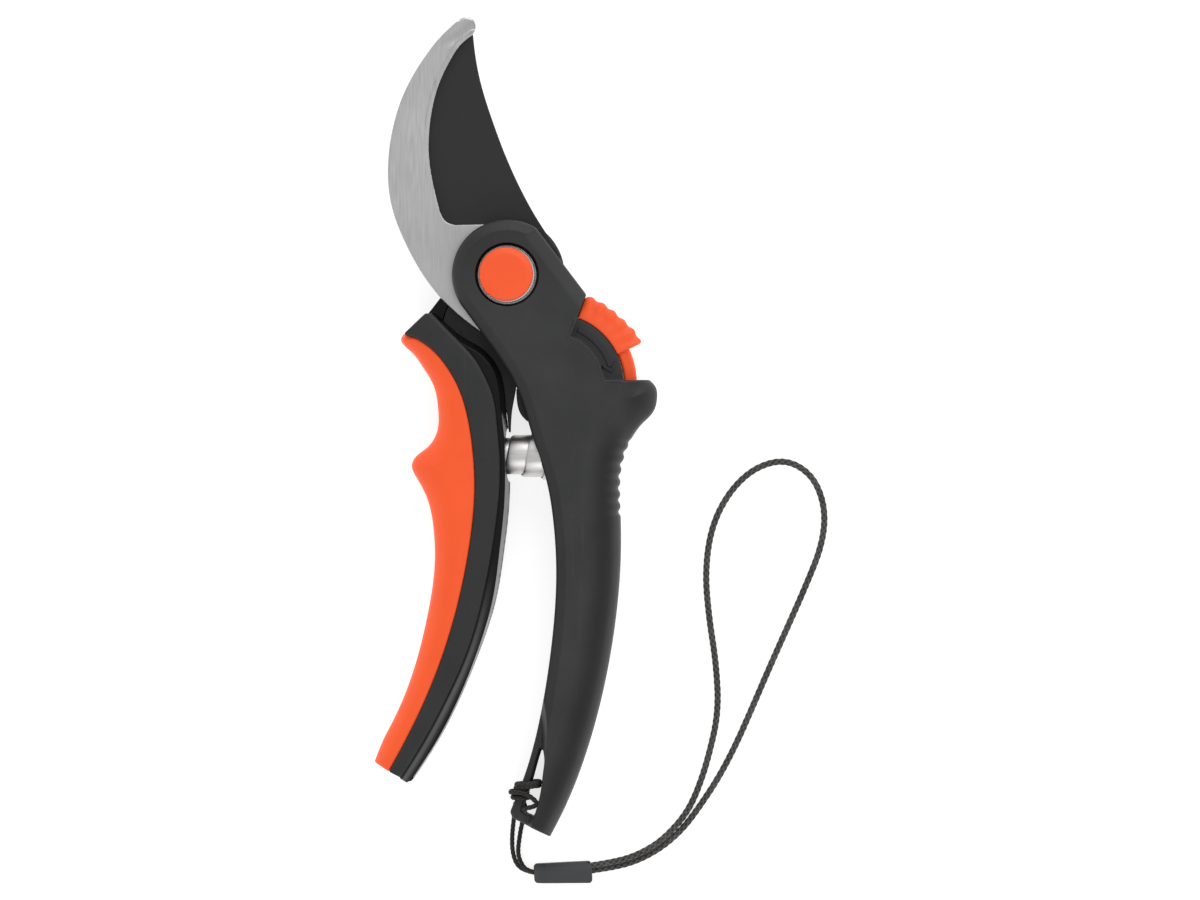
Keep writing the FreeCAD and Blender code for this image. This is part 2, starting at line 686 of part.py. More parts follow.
def cutting_blade():
    """The cutting blade with its tang, ground on its back face only."""
    body = add_body("cutting_blade")
    low, top = "Sizes.blade_low", "Sizes.blade_high"
    disc, back = size("blade_disc_radius"), size("blade_low")
    pad_outline(
        body,
        outline(
            BLADE_SPINE,
            arc(disc, -60.0, 28.8),
            TANG_RIGHT,
            [TANG_RIGHT[-1], TANG_END],
            [TANG_END, TANG_LEFT[0]],
            TANG_LEFT,
            arc(disc, 172.0, 201.0),
            BLADE_EDGE,
        ),
        low,
        top,
    )
    bevel_edges(
        body,
        "Sizes.blade_bevel",
        lambda p, length: on_level(p, back) and p.x < size("pivot_x") - 20 and length > 60,
    )
    bores = circles(BLADE_RIVET_PLACES, "Sizes.rivet_radius")
    cut_circles(body, bores + [(PIVOT, "Sizes.bushing_radius")], low, top)
    return body


NECK_RADIUS, NECK_START, NECK_END = 16.0, 200.0, 216.5
NECK_RIGHT = [polar(NECK_RADIUS, NECK_END), (-8.0, -16.0), (-2.9, -23.2), (0.6, -28.6), (0.35, -32.0),
              CORE_SIDE[0]]
NECK_LEFT, NECK_CORNER = (-17.6, -6.0), (-20.9, -10.2)
TONGUE_INNER = GROOVE[6:12]
TONGUE_OUTER = [(-7.0, -41.0), (-6.5, -50.0), (-7.2, -63.0), (-10.8, -84.0), (-14.8, -98.0), (-19.9, -109.5)]
MOVING_SEAT_START, MOVING_SEAT_END = "-6.9", "10"


def tongue():
    """The rib of the core that reaches into the shell."""
    return outline(
        TONGUE_INNER,
        [TONGUE_INNER[-1], TONGUE_OUTER[-1]],
        TONGUE_OUTER,
        [TONGUE_OUTER[0], TONGUE_INNER[0]],
    )


def moving_handle_core():
    """The rigid spine of the moving handle: a neck round the blade's tang and a band down the inner side."""
    body = add_body("moving_handle_core")
    low, blade_low, blade_high = "Sizes.core_low", "Sizes.blade_low", "Sizes.blade_high"
    neck_and_band = outline(
        GROOVE,
        [GROOVE_BOTTOM, CORE_BOTTOM],
        list(reversed(CORE_SIDE)),
        NECK_RIGHT,
        arc(NECK_RADIUS, NECK_START, NECK_END),
        [polar(NECK_RADIUS, NECK_START), NECK_LEFT],
        [NECK_LEFT, NECK_CORNER],
        [NECK_CORNER, SHELL_TOP_RIGHT],
    )
    band = outline(
        GROOVE,
        [GROOVE_BOTTOM, CORE_BOTTOM],
        list(reversed(CORE_EDGE)),
        [CORE_EDGE[0], SHELL_TOP_RIGHT],
    )
    pad_outline(body, neck_and_band, low, blade_high)
    pad_outline(body, band, blade_high, "Sizes.core_top")
    pad_outline(body, tongue(), "Sizes.bumper_low", "Sizes.bumper_high")
    cut_outline(body, tang_outline(), blade_low, blade_high)
    cut_spring_seat(body, MOVING_SEAT_END, MOVING_SEAT_START)
    rivets = circles(BLADE_RIVET_PLACES, "Sizes.rivet_radius")
    cut_circles(body, rivets, "Sizes.blade_rivet_low", blade_low)
    return body


def moving_handle_shell():
    """The hard outer cover of the moving handle, slotted for the core's tongue."""
    body = add_body("moving_handle_shell")
    shell = outline(
        SEAM,
        [SEAM_BOTTOM, GROOVE_BOTTOM],
        GROOVE,
        [SHELL_TOP_RIGHT, SHELL_TOP_LEFT],
        [SHELL_TOP_LEFT, SEAM_TOP],
    )
    slot_inner = [(x + 3.0, y) for x, y in TONGUE_INNER]
    slot = outline(
        slot_inner,
        [slot_inner[-1], TONGUE_INNER[-1]],
        [TONGUE_INNER[-1], TONGUE_OUTER[-1]],
        TONGUE_OUTER,
        [TONGUE_OUTER[0], TONGUE_INNER[0]],
        [TONGUE_INNER[0], slot_inner[0]],
    )
    pad_outline(body, shell, "Sizes.back_face", "Sizes.front_face")
    cut_outline(body, slot, "Sizes.bumper_low", "Sizes.bumper_high")
    cut_outline(body, tang_outline(), "Sizes.blade_low", "Sizes.blade_high")
    rivets = circles(BLADE_RIVET_PLACES, "Sizes.rivet_radius")
    cut_circles(body, rivets, "Sizes.blade_rivet_low", "Sizes.blade_low")
    cut_spring_seat(body, MOVING_SEAT_END, MOVING_SEAT_START)
    return body


def moving_handle_grip():
    """The soft outer grip with its finger stop."""
    body = add_body("moving_handle_grip")
    low, top = "Sizes.back_face", "Sizes.front_face"
    pad_outline(body, outline(FINGER_STOP, GRIP_EDGE, [GRIP_BOTTOM, SEAM_BOTTOM], SEAM), low, top)
    return body


def blade_rivets():
    body = add_body("blade_rivets")
    rivets = circles(BLADE_RIVET_PLACES, "Sizes.rivet_radius")
    pad_circles(body, rivets, "Sizes.blade_rivet_low", "Sizes.blade_high")
    return body


def return_spring():
    """A volute spring: one flat strip wound along a cone, each turn partly inside the next."""
    body = add_body("return_spring")
    body.setExpression("Placement.Base.x", "Sizes.pivot_x + Sizes.spring_left")
    body.setExpression("Placement.Base.y", "Sizes.pivot_y + Sizes.spring_y")
    body.setExpression("Placement.Base.z", "Sizes.mid_plane")
    inner, strip, width = size("spring_small_radius"), size("spring_strip"), size("spring_width")
    section = polygon((0.0, inner), (width, inner), (width, inner + strip), (0.0, inner + strip))
    sketch = draw(body, section, "0", "XY_Plane")
    axis = next(f for f in body.Origin.OriginFeatures if f.Role == "X_Axis")
    coil = body.newObject("PartDesign::AdditiveHelix", "Coil")
    coil.Profile = sketch
    coil.ReferenceAxis = (axis, [""])
    coil.Mode = 3
    coil.setExpression("Turns", "Sizes.spring_turns")
    coil.setExpression("Height", "Sizes.spring_pitch * Sizes.spring_turns")
    coil.setExpression("Growth", "Sizes.spring_growth")
    doc.recompute()
    return body


# ---------------------------------------------------------------- lanyard


def cord_path(points):
    """Straight runs joined by tangent arcs, each arc as large as its two shorter runs allow."""
    points = [Vector(*p) for p in points]
    edges, radii = [], []
    start = points[0]
    for before, corner, after in zip(points, points[1:], points[2:]):
        back, ahead = before - corner, after - corner
        half_turn = (math.pi - back.getAngle(ahead)) / 2
        trim = 0.45 * min(back.Length, ahead.Length)
        radii.append(trim / math.tan(half_turn))
        first = corner + back * (trim / back.Length)
        last = corner + ahead * (trim / ahead.Length)
        bisector = (back * (1 / back.Length) + ahead * (1 / ahead.Length)).normalize()
        middle = corner + bisector * (radii[-1] / math.cos(half_turn) - radii[-1])
        edges.append(Part.LineSegment(start, first).toShape())
        edges.append(Part.Arc(first, middle, last).toShape())
        start = last
    edges.append(Part.LineSegment(start, points[-1]).toShape())
    return Part.Wire(edges), radii


def cord(label, points, radius):
    """A round cord along its route, as one tube."""
    wire, radii = cord_path(points)
    first = wire.Edges[0]
    start, along = first.valueAt(first.FirstParameter), first.tangentAt(first.FirstParameter)
    section = Part.Wire([Part.Circle(start, along, radius).toShape()])
    tube = wire.makePipeShell([section], True, True)
    area = math.pi * radius ** 2
    print(f"{label}: length {wire.Length:.1f}, smallest radius {min(radii):.1f}, "
          f"volume ratio {tube.Volume / (area * wire.Length):.4f}")
    feature = doc.addObject("Part::Feature", label)
    feature.Label = label
    feature.Shape = tube
    feature.setExpression("Placement.Base.x", "Sizes.pivot_x")
    feature.setExpression("Placement.Base.y", "Sizes.pivot_y")
    subparts.append(feature)
    return feature


# Routes about the pivot. The strap runs from the clip round its loop and back to the clip.
# The tie cord runs from the clip up one side, folds under the handle's bar and comes back.
STRAP_ROUTE = [
    (21.3, -155.6, 2.4), (27.0, -154.8, 2.0), (33.5, -153.1, 1.95), (39.7, -149.7, 1.95),
    (44.6, -145.0, 1.4), (47.9, -140.5, 0.85), (50.4, -135.0, 0.85), (53.0, -127.0, 0.85),
    (55.7, -115.0, 0.85), (55.0, -102.0, 0.85), (53.1, -90.0, 0.85), (52.1, -78.0, 0.85),
    (53.8, -66.0, 0.85), (58.7, -56.6, 0.85), (65.5, -50.4, 0.85), (73.6, -48.4, 0.85),
    (80.7, -52.8, 0.85), (83.9, -61.5, 0.85), (83.0, -71.0, 0.85), (78.6, -82.0, 0.85),
    (73.7, -93.0, 0.85), (69.0, -103.5, 0.85), (64.6, -113.8, 0.85), (60.0, -124.2, 0.85),
    (55.6, -132.5, 0.85), (51.0, -139.5, 0.85), (46.5, -145.6, 0.85), (41.2, -150.4, 0.85),
    (34.8, -154.1, 0.85), (28.0, -156.05, 0.85), (21.3, -156.9, 1.2),
]
TIE_ROUTE = [
    (7.03, -157.4, 1.2), (4.5, -156.9, 0.8), (2.3, -155.2, 0.65), (1.3, -151.8, 0.65), (1.2, -148.2, 0.65),
    (1.5, -144.8, 0.9), (1.9, -141.4, 1.6), (2.0, -138.5, 2.2), (4.6, -138.5, 2.2), (4.7, -141.4, 1.6),
    (3.7, -145.0, 1.0), (3.1, -148.6, 0.85), (2.7, -152.3, 1.5), (3.7, -155.2, 2.0), (5.2, -156.8, 2.35),
    (7.03, -157.2, 2.5),
]


def cord_clip():
    """The moulded clip that joins the thin tie cord to the strap, with a mouth for the strap."""
    body = add_body("cord_clip", ("Sizes.pivot_x + Sizes.clip_x", "Sizes.pivot_y + Sizes.clip_y", "0"))
    body.setExpression("Placement.Rotation.Angle", "Sizes.clip_tilt")
    half, wide = size("clip_length") / 2, size("clip_width") / 2
    block = polygon((-half, -wide + 0.35), (half, -wide - 0.35), (half, wide), (-half, wide))
    mouth = polygon((half - 1.05, -0.95), (half + 1.0, -0.95), (half + 1.0, 2.4), (half - 1.05, 2.4))
    pad_outline(body, block, "0", "Sizes.clip_height")
    round_edges(body, "0.9", lambda p, length: p.x < size("pivot_x") + size("clip_x") - 7.4 and length > 4)
    cut_outline(body, mouth, "0.3", "3.4")
    return body


def tie_knot():
    """The hitch round the bar of the lanyard hole, as a plain sleeve."""
    middle = Vector(4.55, -135.3, (size("bar_front") + size("bar_back")) / 2)
    lean = Rotation(Vector(0, 0, 1), 70.0)
    boxes = []
    for name, length, width, height in (("hitch_outside", 4.0, 5.4, 13.6), ("hitch_inside", 6.0, 3.1, 11.2)):
        box = doc.addObject("Part::Box", name)
        box.Length, box.Width, box.Height = length, width, height
        corner = lean.multVec(Vector(-length / 2, -width / 2, -height / 2))
        box.Placement = Placement(middle + corner, lean)
        boxes.append(box)
    sleeve = doc.addObject("Part::Cut", "tie_knot")
    sleeve.Label = "tie_knot"
    sleeve.Base, sleeve.Tool = boxes
    sleeve.setExpression("Placement.Base.x", "Sizes.pivot_x")
    sleeve.setExpression("Placement.Base.y", "Sizes.pivot_y")
    subparts.append(sleeve)
    doc.recompute()
    return sleeve


def wrist_strap():
    return cord("wrist_strap", STRAP_ROUTE, size("strap_radius"))


def tie_cord():
    return cord("tie_cord", TIE_ROUTE, size("tie_radius"))


for make in (
    fixed_handle_front_shell,
    fixed_handle_back_shell,
    hook_blade,
    hook_rivets,
    handle_screws,
    closing_bumper,
    lock_pin,
    lock_detent_spring,
    pivot_bolt,
    pivot_rings,
    pivot_cap,
    lock_lever,
    lock_slider,
    cutting_blade,
    moving_handle_core,
    moving_handle_shell,
    moving_handle_grip,
    blade_rivets,
    return_spring,
    cord_clip,
    tie_knot,
    tie_cord,
    wrist_strap,
):
    make()
doc.recompute()

failed = [item.Label for item in doc.Objects if {"Invalid", "Error"} & set(item.State)]
for item in subparts:
    if item.Shape.isNull() or not item.Shape.isValid():
        failed.append(item.Label)
if failed:
    raise RuntimeError(f"these objects failed: {failed}")

os.makedirs("parts", exist_ok=True)
for item in subparts:
    item.Shape.exportStep(f"parts/{item.Label}.step")
    print(f"{item.Label}: {len(item.Shape.Solids)} solid, {item.Shape.Volume:.1f} mm3")
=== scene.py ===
import json
import math

import bpy
import numpy as np
from mathutils import Vector

# The looks of the bypass pruner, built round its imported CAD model.
# Shapes are worked out in millimetres about the pivot axis, with Z up from the resting surface,
# and are moved to the row frame, in metres, when their mesh is made.
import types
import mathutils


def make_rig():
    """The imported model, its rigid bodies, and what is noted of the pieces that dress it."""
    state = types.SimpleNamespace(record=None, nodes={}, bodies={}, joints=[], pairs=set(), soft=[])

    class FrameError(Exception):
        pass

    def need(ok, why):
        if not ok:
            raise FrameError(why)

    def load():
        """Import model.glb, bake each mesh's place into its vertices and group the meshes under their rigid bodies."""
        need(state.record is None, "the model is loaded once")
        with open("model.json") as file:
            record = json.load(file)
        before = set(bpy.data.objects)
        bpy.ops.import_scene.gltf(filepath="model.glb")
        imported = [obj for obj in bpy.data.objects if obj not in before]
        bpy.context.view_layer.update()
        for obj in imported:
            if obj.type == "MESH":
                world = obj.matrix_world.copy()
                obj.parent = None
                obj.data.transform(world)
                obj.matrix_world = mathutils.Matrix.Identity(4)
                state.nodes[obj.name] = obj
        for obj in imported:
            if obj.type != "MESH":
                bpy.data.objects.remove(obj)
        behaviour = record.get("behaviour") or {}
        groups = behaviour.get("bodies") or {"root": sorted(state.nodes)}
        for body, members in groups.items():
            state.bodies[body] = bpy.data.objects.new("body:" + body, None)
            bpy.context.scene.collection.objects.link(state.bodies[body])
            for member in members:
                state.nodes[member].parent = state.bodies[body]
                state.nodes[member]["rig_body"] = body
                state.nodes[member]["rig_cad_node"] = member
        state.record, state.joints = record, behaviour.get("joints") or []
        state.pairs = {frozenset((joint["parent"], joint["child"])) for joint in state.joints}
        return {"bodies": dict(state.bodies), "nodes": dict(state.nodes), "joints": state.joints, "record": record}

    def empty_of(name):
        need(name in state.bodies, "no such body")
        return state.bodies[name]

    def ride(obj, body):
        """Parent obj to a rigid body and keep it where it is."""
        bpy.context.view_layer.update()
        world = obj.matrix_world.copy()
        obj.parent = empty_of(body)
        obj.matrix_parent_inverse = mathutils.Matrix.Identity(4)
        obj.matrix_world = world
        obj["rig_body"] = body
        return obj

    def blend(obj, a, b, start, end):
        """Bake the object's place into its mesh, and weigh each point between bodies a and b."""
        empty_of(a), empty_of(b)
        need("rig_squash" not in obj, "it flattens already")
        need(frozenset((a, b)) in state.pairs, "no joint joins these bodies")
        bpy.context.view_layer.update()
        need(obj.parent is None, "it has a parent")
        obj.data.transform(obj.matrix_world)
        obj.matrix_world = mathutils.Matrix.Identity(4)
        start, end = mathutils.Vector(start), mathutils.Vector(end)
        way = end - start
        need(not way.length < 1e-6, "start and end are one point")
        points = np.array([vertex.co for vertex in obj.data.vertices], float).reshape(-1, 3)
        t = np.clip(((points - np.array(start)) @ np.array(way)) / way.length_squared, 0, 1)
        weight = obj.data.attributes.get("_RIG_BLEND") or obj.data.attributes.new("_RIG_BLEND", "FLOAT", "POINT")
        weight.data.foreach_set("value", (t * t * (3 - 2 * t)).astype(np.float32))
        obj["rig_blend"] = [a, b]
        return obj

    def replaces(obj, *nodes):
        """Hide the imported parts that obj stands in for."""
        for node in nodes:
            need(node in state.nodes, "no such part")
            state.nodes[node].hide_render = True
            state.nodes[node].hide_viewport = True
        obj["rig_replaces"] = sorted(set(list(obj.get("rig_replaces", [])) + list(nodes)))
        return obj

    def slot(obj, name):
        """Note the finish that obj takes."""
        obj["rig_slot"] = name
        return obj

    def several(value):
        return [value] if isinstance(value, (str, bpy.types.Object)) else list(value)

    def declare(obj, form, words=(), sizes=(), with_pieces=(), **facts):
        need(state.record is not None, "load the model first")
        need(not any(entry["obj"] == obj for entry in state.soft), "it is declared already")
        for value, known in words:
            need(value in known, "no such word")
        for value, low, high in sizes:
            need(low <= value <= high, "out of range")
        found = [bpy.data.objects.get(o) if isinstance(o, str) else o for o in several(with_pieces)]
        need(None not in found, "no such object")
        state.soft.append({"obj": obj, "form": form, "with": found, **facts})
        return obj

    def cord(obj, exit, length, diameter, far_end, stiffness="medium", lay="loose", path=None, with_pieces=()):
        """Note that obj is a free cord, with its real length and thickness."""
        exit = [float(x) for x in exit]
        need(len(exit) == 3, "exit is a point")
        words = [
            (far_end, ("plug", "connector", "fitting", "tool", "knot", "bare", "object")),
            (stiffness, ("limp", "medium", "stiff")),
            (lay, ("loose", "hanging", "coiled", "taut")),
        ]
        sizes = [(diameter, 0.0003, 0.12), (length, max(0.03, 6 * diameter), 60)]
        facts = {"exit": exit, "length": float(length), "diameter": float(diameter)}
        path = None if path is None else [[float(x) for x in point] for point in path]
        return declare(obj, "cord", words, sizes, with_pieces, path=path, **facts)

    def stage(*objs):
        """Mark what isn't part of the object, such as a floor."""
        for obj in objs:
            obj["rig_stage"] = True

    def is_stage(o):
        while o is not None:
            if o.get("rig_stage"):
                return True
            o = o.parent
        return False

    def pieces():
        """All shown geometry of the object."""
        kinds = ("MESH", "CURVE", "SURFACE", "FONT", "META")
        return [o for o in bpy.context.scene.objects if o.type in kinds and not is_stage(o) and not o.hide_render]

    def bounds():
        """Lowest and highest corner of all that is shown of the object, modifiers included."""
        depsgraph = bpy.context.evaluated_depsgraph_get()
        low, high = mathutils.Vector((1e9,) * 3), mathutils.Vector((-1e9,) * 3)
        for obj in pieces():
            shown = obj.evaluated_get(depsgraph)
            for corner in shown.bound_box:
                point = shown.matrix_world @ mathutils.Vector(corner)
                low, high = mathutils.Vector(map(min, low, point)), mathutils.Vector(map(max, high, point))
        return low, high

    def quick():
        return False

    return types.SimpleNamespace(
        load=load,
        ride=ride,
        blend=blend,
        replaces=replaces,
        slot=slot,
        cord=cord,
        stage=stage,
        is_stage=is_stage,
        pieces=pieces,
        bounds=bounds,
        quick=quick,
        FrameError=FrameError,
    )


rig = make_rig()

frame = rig.load()
bounds_at_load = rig.bounds()

JOINTS = {joint["name"]: Vector(joint["pos_m"]) for joint in frame["record"]["behaviour"]["joints"]}
PIVOT, LOCK_PIN = JOINTS["pivot"], JOINTS["lock_slide"]
MM = 0.001
LOCK = ((LOCK_PIN.x - PIVOT.x) / MM, (LOCK_PIN.y - PIVOT.y) / MM)
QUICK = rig.quick()
CELL = 0.6 if QUICK else 0.36


def to_row(points):
    """Millimetres about the pivot to metres in the row frame."""
    points = np.asarray(points, float)
    return points * MM + np.array([PIVOT.x, PIVOT.y, 0.0])


# ---------------------------------------------------------------- camera

VIEW_WIDTH, VIEW_CENTRE, VIEW_LEVEL = 0.3154, (0.0219, -0.0062), 0.009
lens_data = bpy.data.cameras.new("camera")
lens_data.lens = 300.0
lens_data.sensor_width = 36.0
lens_data.clip_start = 0.01
camera = bpy.data.objects.new("camera", lens_data)
camera.location = (*VIEW_CENTRE, VIEW_LEVEL + VIEW_WIDTH * lens_data.lens / lens_data.sensor_width)
bpy.context.scene.collection.objects.link(camera)
bpy.context.scene.camera = camera


# ---------------------------------------------------------------- meshes


def new_object(name, vertices, faces, normals=None, smooth=True):
    """A mesh object from arrays: vertices in mm about the pivot, faces as rows of equal length."""
    vertices = to_row(vertices)
    faces = np.asarray(faces, np.int32)
    mesh = bpy.data.meshes.new(name)
    mesh.vertices.add(len(vertices))
    mesh.vertices.foreach_set("co", vertices.astype(np.float32).ravel())
    mesh.loops.add(faces.size)
    mesh.loops.foreach_set("vertex_index", faces.ravel())
    mesh.polygons.add(len(faces))
    mesh.polygons.foreach_set("loop_start", np.arange(0, faces.size, faces.shape[1], dtype=np.int32))
    mesh.update(calc_edges=True)
    mesh.validate()
    if smooth:
        mesh.shade_smooth()
    if normals is not None and len(mesh.vertices) == len(normals):
        mesh.normals_split_custom_set_from_vertices([tuple(n) for n in normals])
    obj = bpy.data.objects.new(name, mesh)
    bpy.context.scene.collection.objects.link(obj)
    return obj


def mark_points(obj, name, measure):
    """A value for every point of a mesh, from its place in mm about the pivot."""
    places = np.array([v.co for v in obj.data.vertices])
    x, y, z = ((places - np.array([PIVOT.x, PIVOT.y, 0.0])) / MM).T
    attribute = obj.data.attributes.new(name, "FLOAT", "POINT")
    attribute.data.foreach_set("value", measure(x, y, z).astype(np.float32))


def finish_piece(obj, body, slot, material, *nodes):
    """Material, material slot, the body that carries the piece and the CAD nodes that it stands for."""
    obj.data.materials.append(material)
    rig.slot(obj, slot)
    if nodes:
        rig.replaces(obj, *nodes)
    if body:
        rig.ride(obj, body)
    return obj


def tube_mesh(centres, ring, closed=False, up=(0.0, 0.0, 1.0)):
    """Vertices and faces of a tube. ring(i, side, up) gives the offsets of ring i from its centre."""
    centres = np.asarray(centres, float)
    if closed:
        ahead = np.roll(centres, -1, 0) - np.roll(centres, 1, 0)
    else:
        ahead = np.gradient(centres, axis=0)
    ahead /= np.linalg.norm(ahead, axis=1)[:, None]
    side = np.cross(ahead, np.array(up))
    side /= np.linalg.norm(side, axis=1)[:, None]
    top = np.cross(side, ahead)
    rings = [centres[i] + ring(i, side[i], top[i]) for i in range(len(centres))]
    around = len(rings[0])
    vertices = np.concatenate(rings)
    faces = []
    count = len(rings)
    for i in range(count if closed else count - 1):
        a, b = i * around, ((i + 1) % count) * around
        k = np.arange(around)
        n = (k + 1) % around
        faces.append(np.stack([a + k, a + n, b + n, b + k], 1))
    faces = np.concatenate(faces)
    if not closed:
        caps = []
        for first, flip in ((0, False), ((count - 1) * around, True)):
            half = around // 2
            for k in range(half - 1):
                quad = [first + k, first + around - 1 - k, first + around - 2 - k, first + k + 1]
                caps.append(quad[::-1] if flip else quad)
        faces = np.concatenate([faces, np.array(caps)])
    return vertices, faces


# ---------------------------------------------------------------- distance fields in the plane


def spline(points, step=0.5):
    """Points along a smooth curve through the given ones, about a step apart."""
    p = np.array(points, float)
    h = np.linalg.norm(np.diff(p, axis=0), axis=1)
    t = np.concatenate(([0.0], np.cumsum(h)))
    n = len(p)
    system = np.zeros((n, n))
    right = np.zeros((n, p.shape[1]))
    system[0, 0] = system[-1, -1] = 1.0
    for i in range(1, n - 1):
        system[i, i - 1:i + 2] = h[i - 1], 2 * (h[i - 1] + h[i]), h[i]
        right[i] = 6 * ((p[i + 1] - p[i]) / h[i] - (p[i] - p[i - 1]) / h[i - 1])
    m = np.linalg.solve(system, right)
    s = np.linspace(0.0, t[-1], max(2, int(t[-1] / step) + 1))
    k = np.clip(np.searchsorted(t, s, side="right") - 1, 0, n - 2)
    w, u, v = h[k][:, None], (t[k + 1] - s)[:, None], (s - t[k])[:, None]
    return (m[k] * u**3 + m[k + 1] * v**3) / (6 * w) + (p[k] / w - m[k] * w / 6) * u + (
        p[k + 1] / w - m[k + 1] * w / 6
    ) * v


def arc(radius, start, end, centre=(0.0, 0.0), step=0.5):
    """Points along an arc, in degrees, in the direction from start to end."""
    count = max(3, int(abs(math.radians(end - start)) * radius / step) + 1)
    angle = np.radians(np.linspace(start, end, count))
    return np.stack([centre[0] + radius * np.cos(angle), centre[1] + radius * np.sin(angle)], 1)


def polar(radius, degrees, centre=(0.0, 0.0)):
    return tuple(arc(radius, degrees, degrees, centre)[0])


def chain(*pieces):
    """One run of points from arcs, splines and single points."""
    return np.concatenate([np.atleast_2d(np.asarray(piece, float)) for piece in pieces])


def line_distance(line):
    """Distance to an open run of points."""

    def measure(x, y):
        best = np.full(x.shape, 1e9)
        for (ax, ay), (bx, by) in zip(line[:-1], line[1:]):
            dx, dy = bx - ax, by - ay
            length = dx * dx + dy * dy
            if length < 1e-12:
                continue
            t = np.clip(((x - ax) * dx + (y - ay) * dy) / length, 0, 1)
            best = np.minimum(best, (x - ax - t * dx) ** 2 + (y - ay - t * dy) ** 2)
        return np.sqrt(best)

    return measure


def area_distance(line):
    """Signed distance to a closed outline, negative inside."""
    closed = np.vstack([line, line[:1]])
    plain = line_distance(closed)

    def measure(x, y):
        inside = np.zeros(x.shape, bool)
        for (ax, ay), (bx, by) in zip(closed[:-1], closed[1:]):
            if ay == by:
                continue
            crosses = (ay > y) != (by > y)
            inside ^= crosses & (x < (bx - ax) * (y - ay) / (by - ay) + ax)
        return np.where(inside, -1.0, 1.0) * plain(x, y)

    return measure


def sampled(measure, low, high, cell=0.3):
    """The measure, kept on a grid and read between its points."""
    xs = np.arange(low[0], high[0] + cell, cell)
    ys = np.arange(low[1], high[1] + cell, cell)
    grid = measure(*np.meshgrid(xs, ys, indexing="ij"))

    def read(x, y):
        u = np.clip((x - low[0]) / cell, 0, len(xs) - 1.001)
        v = np.clip((y - low[1]) / cell, 0, len(ys) - 1.001)
        i, j = u.astype(int), v.astype(int)
        a, b = u - i, v - j
        lower = grid[i, j] * (1 - a) + grid[i + 1, j] * a
        upper = grid[i, j + 1] * (1 - a) + grid[i + 1, j + 1] * a
        return lower * (1 - b) + upper * b

    return read


def meet(a, b, radius=0.3):
    """Where both are inside, with a rounded edge between them."""
    return np.minimum(np.maximum(a, b), -radius) + np.hypot(
        np.maximum(a + radius, 0), np.maximum(b + radius, 0)
    )


def join(a, b, radius=0.3):
    """Where either is inside, with a rounded corner between them."""
    return -meet(-a, -b, radius)


def cut(a, b, radius=0.3):
    """The first without the second."""
    return meet(a, -b, radius)


def ramp(x, low, high):
    """0 below low, 1 above high, smooth between them."""
    t = np.clip((x - low) / (high - low), 0, 1)
    return t * t * (3 - 2 * t)


def round_drop(d, radius, depth):
    """How far a quarter-round edge falls away, at a distance from it."""
    t = np.clip(1 - d / radius, 0, 1)
    return depth * (1 - np.sqrt(1 - np.minimum(t, 0.999) ** 2))


def band_drop(d, width, depth, softness=1.25):
    """How far a sloping band beside an edge falls away, at a distance from it."""
    return depth * np.clip(1 - d / width, 0, 1) ** softness


# ---------------------------------------------------------------- solids from fields


def solid(name, field, low, high, cell=CELL):
    """A closed mesh of the surface where the field is zero, drawn onto it and shaded by its slope."""
    axes = [np.arange(a, b + cell, cell) for a, b in zip(low, high)]
    shape = tuple(len(a) for a in axes)
    values = np.empty(shape)
    for k, z in enumerate(axes[2]):
        x, y = np.meshgrid(axes[0], axes[1], indexing="ij")
        values[:, :, k] = field(x, y, np.full(x.shape, z))
    values[0], values[-1] = 1.0, 1.0
    values[:, 0], values[:, -1] = 1.0, 1.0
    values[:, :, 0], values[:, :, -1] = 1.0, 1.0
    inside = values < 0
    corners = [(i, j, k) for i in (0, 1) for j in (0, 1) for k in (0, 1)]

    def shifted(array, corner):
        return array[tuple(slice(c, n - 1 + c) for c, n in zip(corner, shape))]

    count = sum(shifted(inside, c).astype(np.int8) for c in corners)
    where = np.argwhere((count > 0) & (count < 8))
    number = np.full(tuple(n - 1 for n in shape), -1, np.int64)
    number[tuple(where.T)] = np.arange(len(where))
    total = np.zeros((len(where), 3))
    hits = np.zeros(len(where))
    for axis in range(3):
        for c in corners:
            if c[axis]:
                continue
            d = list(c)
            d[axis] = 1
            a = values[tuple((where + c).T)]
            b = values[tuple((where + d).T)]
            crossing = (a < 0) != (b < 0)
            t = np.where(crossing, a / np.where(crossing, a - b, 1.0), 0.0)
            point = np.tile(np.array(c, float), (len(where), 1))
            point[:, axis] = t
            total += point * crossing[:, None]
            hits += crossing
    points = np.array(low) + (where + total / hits[:, None]) * cell
    faces = []
    for axis in range(3):
        u, v = [n for n in range(3) if n != axis]
        first = [slice(None)] * 3
        second = [slice(None)] * 3
        first[axis], second[axis] = slice(0, -1), slice(1, None)
        a, b = inside[tuple(first)], inside[tuple(second)]
        for flag, turned in ((a & ~b, axis == 1), (~a & b, axis != 1)):
            edge = np.argwhere(flag)
            edge = edge[(edge[:, u] > 0) & (edge[:, v] > 0)]
            ring = []
            for du, dv in ((0, 0), (-1, 0), (-1, -1), (0, -1)):
                cellular = edge.copy()
                cellular[:, u] += du
                cellular[:, v] += dv
                ring.append(number[tuple(cellular.T)])
            quads = np.stack(ring, 1)
            faces.append(quads[:, ::-1] if turned else quads)
    faces = np.concatenate(faces)
    step = cell * 0.25
    for _ in range(3):
        value, slope = field_slope(field, points, step)
        move = value / np.maximum((slope**2).sum(1), 0.05)
        points -= np.clip(move, -cell, cell)[:, None] * slope
    value, slope = field_slope(field, points, cell * 0.5)
    slope /= np.maximum(np.linalg.norm(slope, axis=1), 1e-9)[:, None]
    return new_object(name, points, faces, slope)


